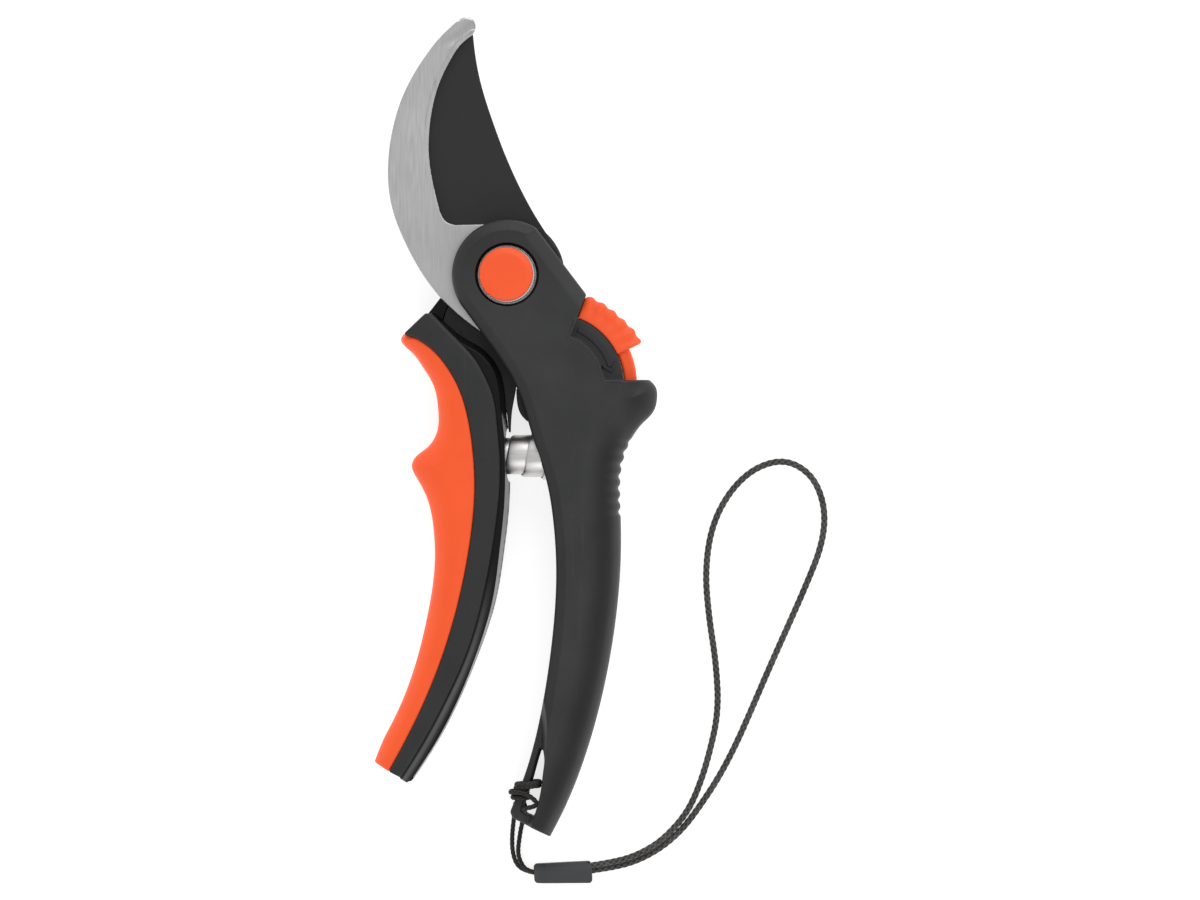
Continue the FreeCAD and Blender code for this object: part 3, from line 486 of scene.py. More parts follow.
def field_slope(field, points, step):
    """The field and its slope at the points."""
    x, y, z = points.T
    slope = np.stack(
        [
            field(x + step, y, z) - field(x - step, y, z),
            field(x, y + step, z) - field(x, y - step, z),
            field(x, y, z + step) - field(x, y, z - step),
        ],
        1,
    ) / (2 * step)
    return field(x, y, z), slope


# ---------------------------------------------------------------- materials


class Surface:
    """A principled material with its nodes, worked out from the piece's own coordinates."""

    def __init__(self, name, base, roughness, metallic=0.0, specular=0.5):
        self.material = bpy.data.materials.new(name)
        self.material.use_nodes = True
        self.tree = self.material.node_tree
        self.shader = self.tree.nodes["Principled BSDF"]
        self.shader.inputs["Base Color"].default_value = (*base, 1.0)
        self.shader.inputs["Roughness"].default_value = roughness
        self.shader.inputs["Metallic"].default_value = metallic
        self.shader.inputs["Specular IOR Level"].default_value = specular
        self.place = self.add("ShaderNodeTexCoord").outputs["Object"]
        self.heights = []

    def add(self, kind, **values):
        node = self.tree.nodes.new(kind)
        for key, value in values.items():
            setattr(node, key, value)
        return node

    def link(self, a, b):
        self.tree.links.new(a, b)

    def noise(self, scale, detail=3.0, stretch=(1.0, 1.0, 1.0), turn=0.0, distortion=0.0):
        """Noise of about 1/scale metres, drawn out along an axis by a small stretch."""
        mapping = self.add("ShaderNodeMapping")
        mapping.inputs["Rotation"].default_value = (0.0, 0.0, turn)
        mapping.inputs["Scale"].default_value = stretch
        self.link(self.place, mapping.inputs["Vector"])
        noise = self.add("ShaderNodeTexNoise")
        noise.inputs["Scale"].default_value = scale
        noise.inputs["Detail"].default_value = detail
        noise.inputs["Distortion"].default_value = distortion
        self.link(mapping.outputs["Vector"], noise.inputs["Vector"])
        return noise.outputs["Fac"]

    def levels(self, value, low, high, to_low=0.0, to_high=1.0):
        """The value's low to high, stretched to another span."""
        span = self.add("ShaderNodeMapRange")
        for key, number in (("From Min", low), ("From Max", high), ("To Min", to_low), ("To Max", to_high)):
            span.inputs[key].default_value = number
        self.link(value, span.inputs["Value"])
        return span.outputs["Result"]

    def maths(self, operation, a, b):
        node = self.add("ShaderNodeMath", operation=operation)
        for socket, value in zip(node.inputs, (a, b)):
            if isinstance(value, (int, float)):
                socket.default_value = value
            else:
                self.link(value, socket)
        return node.outputs[0]

    def tint(self, value, low, high):
        """Base colour between two colours by a value."""
        mix = self.add("ShaderNodeMix", data_type="RGBA")
        mix.inputs[6].default_value = (*low, 1.0)
        mix.inputs[7].default_value = (*high, 1.0)
        self.link(value, mix.inputs[0])
        self.link(mix.outputs[2], self.shader.inputs["Base Color"])

    def darken(self, attribute, amount):
        """Painted shade: base colour made darker by this much where the mesh's attribute is 1."""
        where = self.add("ShaderNodeAttribute", attribute_name=attribute).outputs["Fac"]
        mix = self.add("ShaderNodeMix", data_type="RGBA", blend_type="MULTIPLY")
        self.link(where, mix.inputs[0])
        self.link(self.shader.inputs["Base Color"].links[0].from_socket, mix.inputs[6])
        mix.inputs[7].default_value = (1 - amount, 1 - amount, 1 - amount, 1.0)
        self.link(mix.outputs[2], self.shader.inputs["Base Color"])

    def rough(self, value, low, high):
        self.link(self.levels(value, 0.3, 0.7, low, high), self.shader.inputs["Roughness"])

    def bump(self, value, distance, strength=1.0):
        """A relief of that depth, in metres, on top of those already there."""
        node = self.add("ShaderNodeBump")
        node.inputs["Strength"].default_value = strength
        node.inputs["Distance"].default_value = distance
        self.link(value, node.inputs["Height"])
        if self.heights:
            self.link(self.heights[-1].outputs["Normal"], node.inputs["Normal"])
        self.heights.append(node)
        self.link(node.outputs["Normal"], self.shader.inputs["Normal"])


def scaled(color, factor):
    return tuple(min(1.0, c * factor) for c in color)


def plastic(name, base, roughness, grain=0.00002, mottle=0.18, specular=0.4, scratches=0.0, shaded=0.0):
    """Moulded plastic: fine grain, slight mottling, and rubbed lines and painted shade if wanted."""
    s = Surface(name, base, roughness, specular=specular)
    patches = s.noise(90.0, 4.0)
    grains = s.noise(2600.0, 2.0)
    tone = s.maths("ADD", s.maths("MULTIPLY", patches, 0.7), s.maths("MULTIPLY", grains, 0.3))
    if scratches:
        rub = s.noise(240.0, 5.0, (1.0, 0.05, 1.0), 0.5, 0.4)
        line = s.levels(rub, 0.66, 0.74, 0.0, scratches)
        tone = s.maths("ADD", tone, line)
    s.tint(s.levels(tone, 0.3, 0.7), scaled(base, 1 - mottle), scaled(base, 1 + mottle))
    s.rough(patches, roughness - 0.06, roughness + 0.06)
    s.bump(grains, grain)
    s.bump(patches, grain * 2.0)
    if shaded:
        s.darken("shade", shaded)
    return s.material


def steel(name, base, roughness, stretch, turn=0.0, anisotropy=0.4, lines=0.00001):
    """Ground steel: fine lines along the grinding direction and slow cloudiness."""
    s = Surface(name, base, roughness, metallic=1.0)
    s.shader.inputs["Anisotropic"].default_value = anisotropy
    ground = s.noise(2400.0, 3.0, stretch, turn)
    clouds = s.noise(70.0, 3.0)
    tone = s.maths("ADD", s.maths("MULTIPLY", ground, 0.6), s.maths("MULTIPLY", clouds, 0.4))
    s.tint(s.levels(tone, 0.35, 0.65), scaled(base, 0.9), scaled(base, 1.08))
    s.rough(ground, roughness - 0.07, roughness + 0.07)
    s.bump(ground, lines)
    return s.material


def fabric(name, base, scale):
    """Braided thread: fibres across the cord, a lighter fuzz, and the plait's crests painted lighter, a painted
    highlight.
    """
    s = Surface(name, base, 0.85, specular=0.25)
    fibre = s.noise(scale, 2.0)
    patches = s.noise(220.0, 3.0)
    plait = s.add("ShaderNodeAttribute", attribute_name="plait").outputs["Fac"]
    worn = s.maths("ADD", s.maths("MULTIPLY", fibre, 0.5), s.maths("MULTIPLY", patches, 0.3))
    # Painted highlight and shade: the plait's crests lighter than its hollows.
    tone = s.maths("ADD", worn, s.levels(plait, 0.3, 1.0, 0.0, 0.28))
    s.tint(s.levels(tone, 0.35, 0.75), scaled(base, 0.35), scaled(base, 1.9))
    s.rough(fibre, 0.75, 0.95)
    s.bump(fibre, 0.00004)
    return s.material


ORANGE = (1.0, 0.105, 0.02)
black_plastic = plastic("black_plastic", (0.0185, 0.0188, 0.0202), 0.5, mottle=0.22, scratches=0.4)
# The front half's plastic: a lighter copy of the black plastic as painted light, darkened by its shade mark as painted
# shade.
front_plastic = plastic("front_plastic", (0.0265, 0.0269, 0.0285), 0.5, mottle=0.22, scratches=0.4,
                        shaded=0.8)
# The core band's plastic is lighter than its own near-black colour, a painted highlight, and its shade mark darkens it
# back elsewhere.
core_plastic = plastic("core_plastic", (0.11, 0.11, 0.112), 0.22, grain=0.000004, specular=0.15,
                       shaded=0.945)
orange_grip = plastic("orange_grip", ORANGE, 0.5, grain=0.000015, mottle=0.06, specular=0.35)
orange_plastic = plastic("orange_plastic", scaled(ORANGE, 0.97), 0.42, grain=0.00001, mottle=0.05)
satin_steel = steel("satin_steel", (0.545, 0.545, 0.55), 0.34, (1.0, 0.06, 1.0), 0.35)
polished_steel = steel("polished_steel", (0.66, 0.66, 0.67), 0.2, (1.0, 1.0, 1.0), anisotropy=0.0,
                       lines=0.000003)
spring_steel = steel("spring_steel", (0.72, 0.71, 0.7), 0.4, (0.04, 1.0, 1.0), 0.0)
brass = steel("brass", (0.75, 0.56, 0.26), 0.3, (1.0, 1.0, 0.1), 0.0)
coated_blade = plastic("coated_blade", (0.0115, 0.0115, 0.0118), 0.5, grain=0.000012, mottle=0.1,
                       specular=0.45)
rubber = plastic("rubber", (0.015, 0.015, 0.016), 0.8, mottle=0.2)
clip_plastic = plastic("clip_plastic", (0.045, 0.046, 0.048), 0.5, grain=0.00002, mottle=0.12)
cord_fabric = fabric("cord_fabric", (0.036, 0.034, 0.032), 3000.0)
strap_fabric = fabric("strap_fabric", (0.075, 0.073, 0.07), 2600.0)


# ---------------------------------------------------------------- lanyard

STRAP_ROUTE = [
    (21.3, -155.6, 2.4), (27.0, -154.8, 2.0), (33.5, -153.1, 1.95), (39.7, -149.7, 1.95),
    (44.6, -145.0, 1.4), (47.9, -140.5, 0.85), (50.4, -135.0, 0.85), (53.0, -127.0, 0.85),
    (55.7, -115.0, 0.85), (55.0, -102.0, 0.85), (53.1, -90.0, 0.85), (52.1, -78.0, 0.85),
    (53.8, -66.0, 0.85), (58.7, -56.6, 0.85), (65.5, -50.4, 0.85), (73.6, -48.4, 0.85),
    (80.7, -52.8, 0.85), (83.9, -61.5, 0.85), (83.0, -71.0, 0.85), (78.6, -82.0, 0.85),
    (73.7, -93.0, 0.85), (69.0, -103.5, 0.85), (64.6, -113.8, 0.85), (60.0, -124.2, 0.85),
    (55.6, -132.5, 0.85), (51.0, -139.5, 0.85), (46.5, -145.6, 0.85), (41.2, -150.4, 0.85),
    (34.8, -154.1, 0.85), (28.0, -156.05, 0.85), (21.3, -156.9, 1.2),
]
TIE_ROUTE = [
    (7.03, -157.4, 1.2), (4.5, -156.9, 0.8), (2.3, -155.2, 0.65), (1.3, -151.8, 0.65), (1.2, -148.2, 0.65),
    (1.5, -144.8, 0.9), (1.9, -141.4, 1.6), (2.0, -138.5, 2.2), (4.6, -138.5, 2.2), (4.7, -141.4, 1.6),
    (3.7, -145.0, 1.0), (3.1, -148.6, 0.85), (2.7, -152.3, 1.5), (3.7, -155.2, 2.0), (5.2, -156.8, 2.35),
    (7.03, -157.2, 2.5),
]


def read_route(name, route, spacing):
    """Evenly spaced points, in mm about the pivot, of a cord's own spline through its route."""
    data = bpy.data.curves.new(name + "_line", "CURVE")
    data.dimensions = "3D"
    data.resolution_u = 24
    line = data.splines.new("NURBS")
    line.points.add(len(route) - 1)
    for point, place in zip(line.points, to_row(route)):
        point.co = (*place, 1.0)
    line.order_u = 3
    line.use_endpoint_u = True
    holder = bpy.data.objects.new(name + "_line", data)
    bpy.context.scene.collection.objects.link(holder)
    bpy.context.view_layer.update()
    mesh = bpy.data.meshes.new_from_object(holder)
    points = np.array([v.co for v in mesh.vertices])
    bpy.data.meshes.remove(mesh)
    bpy.data.objects.remove(holder)
    bpy.data.curves.remove(data)
    points = (points - np.array([PIVOT.x, PIVOT.y, 0.0])) / MM
    return even(points, spacing)


def even(points, spacing):
    """Points the same distance apart along a run of points."""
    along = np.concatenate(([0.0], np.cumsum(np.linalg.norm(np.diff(points, axis=0), axis=1))))
    s = np.linspace(0.0, along[-1], max(2, int(round(along[-1] / spacing)) + 1))
    return np.stack([np.interp(s, along, points[:, k]) for k in range(3)], 1)


def braided(name, centres, radius, plait, carriers=4, sides=20, flat=1.0):
    """A tube whose surface bulges in the chevrons of a braid, each plait of the given length."""
    angle = np.linspace(0, 2 * math.pi, sides, endpoint=False)
    spacing = np.linalg.norm(centres[1] - centres[0])

    def bulges(i):
        phase = 2 * math.pi * i * spacing / plait
        return np.maximum(np.cos(carriers * angle + phase), np.cos(carriers * angle - phase))

    def ring(i, side, top):
        r = radius * (0.93 + 0.07 * bulges(i))
        return (r * np.cos(angle))[:, None] * side + (r * flat * np.sin(angle))[:, None] * top

    vertices, faces = tube_mesh(centres, ring)
    braid = new_object(name, vertices, faces)
    relief = braid.data.attributes.new("plait", "FLOAT", "POINT")
    heights = np.concatenate([bulges(i) for i in range(len(centres))])
    relief.data.foreach_set("value", heights.astype(np.float32))
    return braid


def cord_length(centres):
    return float(np.linalg.norm(np.diff(centres, axis=0), axis=1).sum()) * MM


strap_line = read_route("wrist_strap", STRAP_ROUTE, 0.5 if QUICK else 0.2)
strap = braided("strap_braid", strap_line, 0.88, 1.7, flat=0.85)
finish_piece(strap, "fixed_handle", "strap_fabric", strap_fabric, "wrist_strap")
tie_line = read_route("tie_cord", TIE_ROUTE, 0.4 if QUICK else 0.15)
tie = braided("tie_braid", tie_line, 0.62, 1.2)
finish_piece(tie, "fixed_handle", "cord_fabric", cord_fabric, "tie_cord")


# ---------------------------------------------------------------- outlines

HUB, BACK_DISC, TRACK = 14.4, 15.1, 18.4
SHOULDER = (20.8, -5.2)
SHELF_ANGLE, RECESS_TOP = 3.4, 70.0
SHELF_INNER = polar(TRACK, SHELF_ANGLE, LOCK)
SHELF_OUTER = (37.4, SHELF_INNER[1])
HEEL, BAR_CORNER, BAR_SIDE, HORN_END = (11.3, -147.5), (1.5, -142.6), (0.8, -141.0), (32.1, -44.0)
HORN_EDGE = spline([SHELF_OUTER, (39.0, -29.4), (39.4, -32.3), (38.5, -35.8), (35.2, -39.4), HORN_END])
OUTER_EDGE = spline([HORN_END, (30.2, -50.0), (29.7, -57.0), (29.9, -66.0), (29.8, -76.0), (28.9, -87.5),
                     (26.3, -104.3), (21.5, -123.3), (14.4, -141.5), HEEL])
INNER_POINTS = [BAR_SIDE, (4.5, -131.7), (8.9, -114.9), (11.8, -95.9), (12.9, -78.0), (12.1, -64.4),
                (10.3, -53.9), (7.0, -43.4), (2.1, -28.6), (-6.7, -15.2)]
SEAM_TOP, SEAM_BOTTOM = (-27.0, -15.5), (-30.9, -130.3)
GRIP_BOTTOM, GROOVE_BOTTOM, CORE_BOTTOM = (-34.8, -127.8), (-27.8, -131.9), (-24.2, -131.9)
STOP_END = (-23.9, -53.0)
FINGER_STOP = spline([SEAM_TOP, (-27.8, -16.7), (-25.2, -20.2), (-22.0, -24.4), (-19.4, -28.8),
                      (-18.1, -35.0), (-18.4, -41.3), (-21.0, -45.4), (-24.3, -48.2), (-25.0, -50.3),
                      STOP_END])
GRIP_EDGE = spline([STOP_END, (-21.2, -58.1), (-19.3, -66.5), (-19.0, -76.0), (-20.8, -89.0),
                    (-24.7, -104.3), (-29.9, -117.0), (-32.6, -122.3), GRIP_BOTTOM])
SEAM = spline([SEAM_TOP, (-23.9, -16.6), (-18.9, -20.2), (-15.5, -24.4), (-13.1, -28.6), (-10.8, -35.0),
               (-9.2, -43.5), (-8.4, -55.0), (-9.7, -70.7), (-13.1, -87.5), (-18.4, -104.3), (-26.0, -121.2),
               SEAM_BOTTOM])
SHELL_TOP_LEFT, SHELL_TOP_RIGHT = (-21.4, -10.2), (-19.6, -10.2)
GROOVE = spline([SHELL_TOP_RIGHT, (-15.3, -14.7), (-11.8, -18.2), (-8.3, -22.2), (-6.0, -26.2), (-3.7, -31.8),
                 (-2.5, -40.0), (-1.8, -50.0), (-2.6, -63.0), (-6.2, -84.0), (-10.3, -98.5), (-15.8, -111.0),
                 (-23.0, -124.3), GROOVE_BOTTOM])
CORE_EDGE = spline([(-19.2, -9.8), (-14.6, -14.0), (-10.6, -17.0), (-7.2, -18.9), (-4.4, -21.4),
                    (-1.9, -25.4), (-0.6, -31.0), (-0.2, -36.0), (0.5, -42.0), (0.8, -50.0), (0.6, -60.0),
                    (-0.8, -72.8), (-2.9, -85.4), (-6.9, -98.0), (-12.1, -110.7), (-18.6, -123.3),
                    CORE_BOTTOM])
NECK = chain(arc(16.0, 200.0, 216.5),
             [(-8.0, -16.0), (-2.9, -23.2), (0.6, -28.6), (0.35, -32.0), (-0.2, -36.0)],
             [(-3.1, -36.0), (-8.3, -22.2), (-15.3, -14.7), (-20.9, -10.3), (-17.6, -6.0)])
LANYARD_HOLE = chain(spline([(9.15, -124.6), (8.4, -127.0), (6.9, -132.4), (4.3, -140.4)]), [(7.0, -142.3)],
                     spline([(7.3, -141.7), (8.0, -139.3), (8.9, -135.1), (9.5, -130.2), (9.8, -127.0),
                             (9.5, -124.9)]))
BAR_AREA = chain(spline([(9.2, -106.5), (10.4, -111.0), (11.0, -116.0), (11.0, -121.0), (10.5, -128.0),
                         (9.6, -134.0), (8.3, -140.5), (6.3, -147.5)]), [(-5.0, -147.5), (-5.0, -106.5)])
BUMPER = chain(spline([(2.45, -29.6), (2.45, -31.4), (2.65, -33.6), (3.6, -36.6), (5.3, -38.5)]),
               [(8.3, -38.5), (6.0, -29.6)])
HOOK_TIP = spline([(-8.9, 63.2), (-8.3, 64.6), (-8.3, 66.0), (-9.2, 67.3), (-10.8, 67.8), (-12.6, 67.1)],
                  step=0.2)
HOOK_BACK = spline([(-12.6, 67.1), (-17.6, 62.4), (-21.8, 57.0), (-26.4, 49.2), (-30.0, 38.6),
                    (-31.3, 28.0), (-30.2, 17.6), (-27.1, 9.2), (-22.6, 0.8), (-16.0, -7.6), (-11.3, -11.8),
                    (-7.1, -14.9)])
HOOK_INNER = spline([(-8.9, 63.2), (-12.4, 60.2), (-15.0, 56.2), (-17.2, 51.8), (-19.0, 46.4), (-20.4, 38.0),
                     (-20.5, 31.5), (-19.7, 25.4), (-17.6, 16.6)])
BLADE_TIP = (-9.2, 66.0)
BLADE_DISC = 14.7
BLADE_SPINE = spline([BLADE_TIP, (-8.4, 58.0), (-6.6, 49.2), (-3.9, 40.7), (-0.8, 32.3), (2.9, 23.9),
                      (7.4, 15.5), polar(BLADE_DISC, 28.8)])
BLADE_EDGE = spline([polar(BLADE_DISC, 172.0), (-15.6, 7.0), (-18.6, 14.5), (-21.6, 23.0), (-23.0, 33.0),
                     (-22.0, 43.5), (-18.8, 53.0), (-14.6, 60.2), BLADE_TIP])
TANG_RIGHT = spline([polar(BLADE_DISC, -60.0), (3.9, -21.0), (2.75, -26.5), (2.15, -31.0), (1.35, -35.3),
                     (0.95, -41.4)])
TANG_LEFT = spline([(0.1, -38.0), (-0.5, -35.1), (-2.2, -33.0), (-9.5, -27.0), (-14.0, -21.5), (-17.0, -14.5),
                    polar(BLADE_DISC, 201.0)])


def inner_edge(radius, angle):
    """The fixed handle's inner side, from the hub's end of the edge down to the bar."""
    return spline([polar(radius, angle)] + INNER_POINTS[::-1])


def fixed_area(radius, right, left):
    lock_side = chain(SHELF_INNER, arc(TRACK, SHELF_ANGLE, RECESS_TOP, LOCK)[1:], SHOULDER)
    return chain(arc(radius, right, left), inner_edge(radius, left)[1:], BAR_CORNER, HEEL,
                 OUTER_EDGE[::-1][1:], HORN_EDGE[::-1][1:], lock_side)


# ---------------------------------------------------------------- fixed handle

FIXED_LOW, FIXED_HIGH = (-17.0, -149.5), (41.5, 17.5)
MIDDLE, FRONT_FACE, HALF = 9.0, 18.0, 9.0
SEAT_Y, SEAT_Z, SEAT_RADIUS = -47.4, MIDDLE, 6.9
MOVING_SEAT_END = -6.9
SCREWS = ((12.0, -17.0), (21.0, -61.5), (19.0, -110.0))
TAIL_SLOT = (18.38, 22.1, -34.0, 5.0)


def plane(measure):
    return sampled(measure, (-45.0, -152.0), (45.0, 72.0))


def angle_about(centre, x, y):
    return np.degrees(np.arctan2(y - centre[1], x - centre[0]))


def sector(inner, outer, start, end, x, y, centre):
    """Signed distance, near enough, to a ring sector."""
    r = np.hypot(x - centre[0], y - centre[1])
    turn = np.radians(angle_about(centre, x, y))
    side = np.maximum(math.radians(start) - turn, turn - math.radians(end)) * np.maximum(r, 1.0)
    return np.maximum(np.maximum(inner - r, r - outer), side)


outer_line = plane(line_distance(chain(HORN_EDGE, OUTER_EDGE[1:])))
inner_line = plane(line_distance(chain(arc(HUB, 70.0, 220.0), inner_edge(HUB, 220.0)[1:])))
shoulder_line = plane(line_distance(np.array([polar(HUB, 58.0), SHOULDER])))
hole_area = plane(area_distance(LANYARD_HOLE))
bar_area = plane(area_distance(BAR_AREA))


def crest(distance, width):
    """A narrow rounded ridge about a line."""
    return np.exp(-((distance / width) ** 2))


def edge_ribs(x, y):
    """Depth of the grip ribs, which fade away from the outer edge and at both ends."""
    wave = (0.5 - 0.5 * np.cos(2 * math.pi * (y + 45.1) / 3.12)) ** 1.5
    window = ramp(-y, 42.5, 45.0) * (1 - ramp(-y, 63.2, 64.6))
    return 0.55 * wave * window * (1 - ramp(outer_line(x, y), 0.5, 5.0)) * (x > 20)


def seat_space(x, y, z, end):
    return np.maximum(np.hypot(y - SEAT_Y, z - SEAT_Z) - SEAT_RADIUS, x - end)


def fixed_shell(area, front):
    """Half of the fixed handle, above or below the middle plane."""
    outline = plane(area_distance(area))
    ridge = 9.0 if front else 5.0

    def field(x, y, z):
        height = z if front else FRONT_FACE - z
        flutes = edge_ribs(x, y)
        d = outline(x, y) + flutes
        right = np.maximum(outer_line(x, y) - flutes, 0.0)
        top = FRONT_FACE - round_drop(right, ridge, 6.2 if front else 4.0)
        top += 0.1 * crest(right - ridge, 0.35) * ramp(-y, 60.0, 70.0)
        top -= band_drop(inner_line(x, y), 2.7, 1.4) + band_drop(shoulder_line(x, y), 3.8, 1.4)
        top += 0.08 * crest(inner_line(x, y) - 2.8, 0.35) * ramp(y, -14.0, -8.0)
        top -= 0.3 * (1 - ramp(-d, 0.0, 9.0))
        top = np.minimum(top, FRONT_FACE - (4.0 if front else 3.0) * ramp(-bar_area(x, y), 0.0, 2.2))
        f = meet(d, height - top, 0.7)
        f = meet(f, MIDDLE + 0.02 - height, 0.2)
        slant = 0.7 * ramp(height, 9.0, 15.0) * ramp(9.3 + 0.21 * (y + 124.7) - x, -0.4, 0.4)
        f = cut(f, hole_area(x, y) - slant, 0.3)
        f = cut(f, seat_space(x, y, z, 22.4), 0.3)
        r = np.hypot(x, y)
        if front:
            recess = meet(sector(13.3, 30.0, SHELF_ANGLE - 40.0, RECESS_TOP - 0.1, x, y, LOCK),
                          SHELF_INNER[1] - y, 0.8)
            lip = np.maximum(meet(recess - 0.75, -recess - 0.15, 0.1), d + 0.9)
            f = np.minimum(f, np.maximum(meet(lip, z - 18.12, 0.2), 17.0 - z))
            f = cut(f, meet(recess, 15.4 - z, 0.25), 0.3)
            f = cut(f, sector(*TAIL_SLOT, x, y, LOCK) + np.maximum(z - 14.6, 0), 0.15)
            nut_room = np.minimum(np.maximum(r - 7.7, 12.0 - z), np.maximum(r - 8.3, 12.8 - z))
            f = cut(f, nut_room, 0.12)
            hook_room = np.maximum(np.maximum(r - 13.4, -y - 18.0), z - 12.0)
            return cut(f, hook_room, 0.1)
        f = cut(f, sector(*TAIL_SLOT, x, y, LOCK) + np.maximum(4.8 - z, 0), 0.15)
        f = cut(f, np.maximum(r - 6.6, z - 3.2), 0.3)
        tang_room = np.maximum(np.maximum(x - 3.0, -20.0 - x), -32.0 - y)
        f = cut(f, np.maximum(np.minimum(r - 15.8, tang_room), 5.4 - z), 0.1)
        for screw_x, screw_y in SCREWS:
            f = cut(f, np.maximum(np.hypot(x - screw_x, y - screw_y) - 2.95, z - 3.0), 0.25)
        return f

    return field


def front_shade(x, y, z):
    """Painted shade on the front half: darker at its inner edge, a streak at the outer one, the horn and the hub."""
    right = outer_line(x, y)
    band = 0.25 * ramp(2.75 - inner_line(x, y), 0.0, 0.3) * ramp(-y, 2.0, 12.0)
    streak = ramp(right, 0.8, 3.0) * (1 - ramp(right, 3.6, 10.0)) * ramp(-y, 36.0, 48.0)
    horn = 0.7 * ramp(x, 29.0, 34.0) * ramp(-y, 22.0, 26.0)
    hub = 0.4 * ramp(y, -8.0, 6.0)
    return np.clip(band + np.maximum(streak, horn) + hub, 0.0, 1.0)


front_area = fixed_area(HUB, 58.0, 220.0)
back_area = fixed_area(BACK_DISC, 8.0, 216.0)
front_shell = solid("front_shell", fixed_shell(front_area, True), (*FIXED_LOW, 8.4), (*FIXED_HIGH, 18.9))
# Painted light and shade on the front half: its lighter plastic and its shade mark.
finish_piece(front_shell, "fixed_handle", "black_plastic", front_plastic, "fixed_handle_front_shell")
mark_points(front_shell, "shade", front_shade)
back_shell = solid("back_shell", fixed_shell(back_area, False), (*FIXED_LOW, -0.9), (*FIXED_HIGH, 9.6))
finish_piece(back_shell, "fixed_handle", "black_plastic", black_plastic, "fixed_handle_back_shell")


def arrow_field(x, y, z):
    """The raised curved arrow in the lock's recess, with its head at the lower end."""
    stem = sector(15.0, 16.2, 17.0, 66.0, x, y, LOCK)
    tip = polar(15.6, 12.5, LOCK)
    strokes = []
    for radius, angle in ((13.9, 19.5), (17.3, 19.5)):
        ax, ay = polar(radius, angle, LOCK)
        dx, dy = tip[0] - ax, tip[1] - ay
        t = np.clip(((x - ax) * dx + (y - ay) * dy) / (dx * dx + dy * dy), 0, 1)
        strokes.append(np.hypot(x - ax - t * dx, y - ay - t * dy) - 0.4)
    shape = np.minimum(stem, np.minimum(*strokes))
    return meet(meet(shape, z - 15.85, 0.18), 15.2 - z, 0.05)


arrow = solid("lock_arrow", arrow_field, (16.5, -27.0, 14.9), (31.0, -12.5, 16.2), 0.25 if QUICK else 0.13)
finish_piece(arrow, "fixed_handle", "black_plastic", black_plastic)

bumper_area = plane(area_distance(BUMPER))
bumper = solid("rubber_stop", lambda x, y, z: meet(bumper_area(x, y), np.abs(z - MIDDLE) - 5.0, 0.6),
               (1.5, -40.0, 3.0), (9.5, -30.0, 15.0), CELL * 0.8)
finish_piece(bumper, "fixed_handle", "rubber", rubber, "closing_bumper")


# ---------------------------------------------------------------- blades

hook_throat = spline([(-13.5, 13.1), (-16.0, 14.0), (-17.6, 16.6)])
hook_area = plane(area_distance(chain(HOOK_TIP, HOOK_BACK[1:], (-2.0, -17.2), arc(13.4, -60.0, 90.0),
                                      hook_throat[:-1], HOOK_INNER[::-1][:-1])))
hook_inner_line = plane(line_distance(HOOK_INNER))
hook_tip_line = plane(line_distance(HOOK_TIP))


def hook_field(x, y, z):
    """The counter blade: its inner bevel fades downwards, and its tip is ground hollow on the right."""
    bevel = band_drop(hook_inner_line(x, y), 1.3, 0.35, 0.4) * ramp(y, 26.0, 50.0)
    rim = round_drop(hook_tip_line(x, y), 1.2, 0.45)
    hollow = 0.5 * ramp(0.6 * (x + 10.6) - 0.8 * (y - 64.9), -1.2, 1.2) * ramp(y, 59.0, 63.0)
    top = 12.0 - bevel - rim - hollow
    f = meet(meet(hook_area(x, y), z - top, 0.12), 9.0 - z, 0.1)
    return cut(f, np.hypot(x, y) - 4.1, 0.1)


hook = solid("hook", hook_field, (-33.0, -18.5, 8.5), (15.0, 69.0, 12.5), CELL * 0.75)
finish_piece(hook, "fixed_handle", "satin_steel", satin_steel, "hook_blade")

blade_area = plane(area_distance(chain(BLADE_SPINE, arc(BLADE_DISC, 28.8, -60.0)[1:], TANG_RIGHT[1:],
                                       (0.45, -41.4), TANG_LEFT, arc(BLADE_DISC, 201.0, 172.0)[1:],
                                       BLADE_EDGE[1:-1])))
blade_edge_line = plane(line_distance(BLADE_EDGE))
BLADE_LOW, BLADE_HIGH = 5.95, 8.95


def blade_field(x, y, z):
    """The cutting blade: flat in front, with a broad grind behind its edge at the back."""
    grind = band_drop(blade_edge_line(x, y), 6.0, 2.5, 1.0) * ramp(y, 2.0, 14.0)
    f = meet(meet(blade_area(x, y), z - BLADE_HIGH, 0.12), BLADE_LOW + grind - z, 0.1)
    return cut(f, np.hypot(x, y) - 5.5, 0.1)


blade = solid("blade", blade_field, (-25.5, -42.5, 5.4), (16.5, 68.0, 9.5), CELL * 0.75)
finish_piece(blade, "moving_handle", "coated_blade", coated_blade, "cutting_blade")


# ---------------------------------------------------------------- moving handle

grip_area = plane(area_distance(chain(FINGER_STOP, GRIP_EDGE[1:], SEAM[::-1][:-1])))
shell_area = plane(area_distance(chain(SEAM, GROOVE[::-1], SHELL_TOP_LEFT)))
core_area = plane(area_distance(chain(GROOVE, (-26.2, -132.9), (-25.1, -132.8), CORE_EDGE[::-1])))
neck_area = plane(area_distance(NECK))
grip_line = plane(line_distance(chain(FINGER_STOP, GRIP_EDGE[1:])))
core_line = plane(line_distance(CORE_EDGE))
groove_line = plane(line_distance(GROOVE))
CORE_HALF, TANG_ROOM_LOW = 7.5, 5.9


def both_faces(z):
    """Height above the middle plane, the same for the front and the back."""
    return np.abs(z - MIDDLE)


def grip_field(x, y, z):
    d = grip_area(x, y)
    top = HALF - round_drop(grip_line(x, y), 7.0, 5.0) - 0.25 * (1 - ramp(-d, 0.0, 6.0))
    return meet(d, both_faces(z) - top, 0.7)


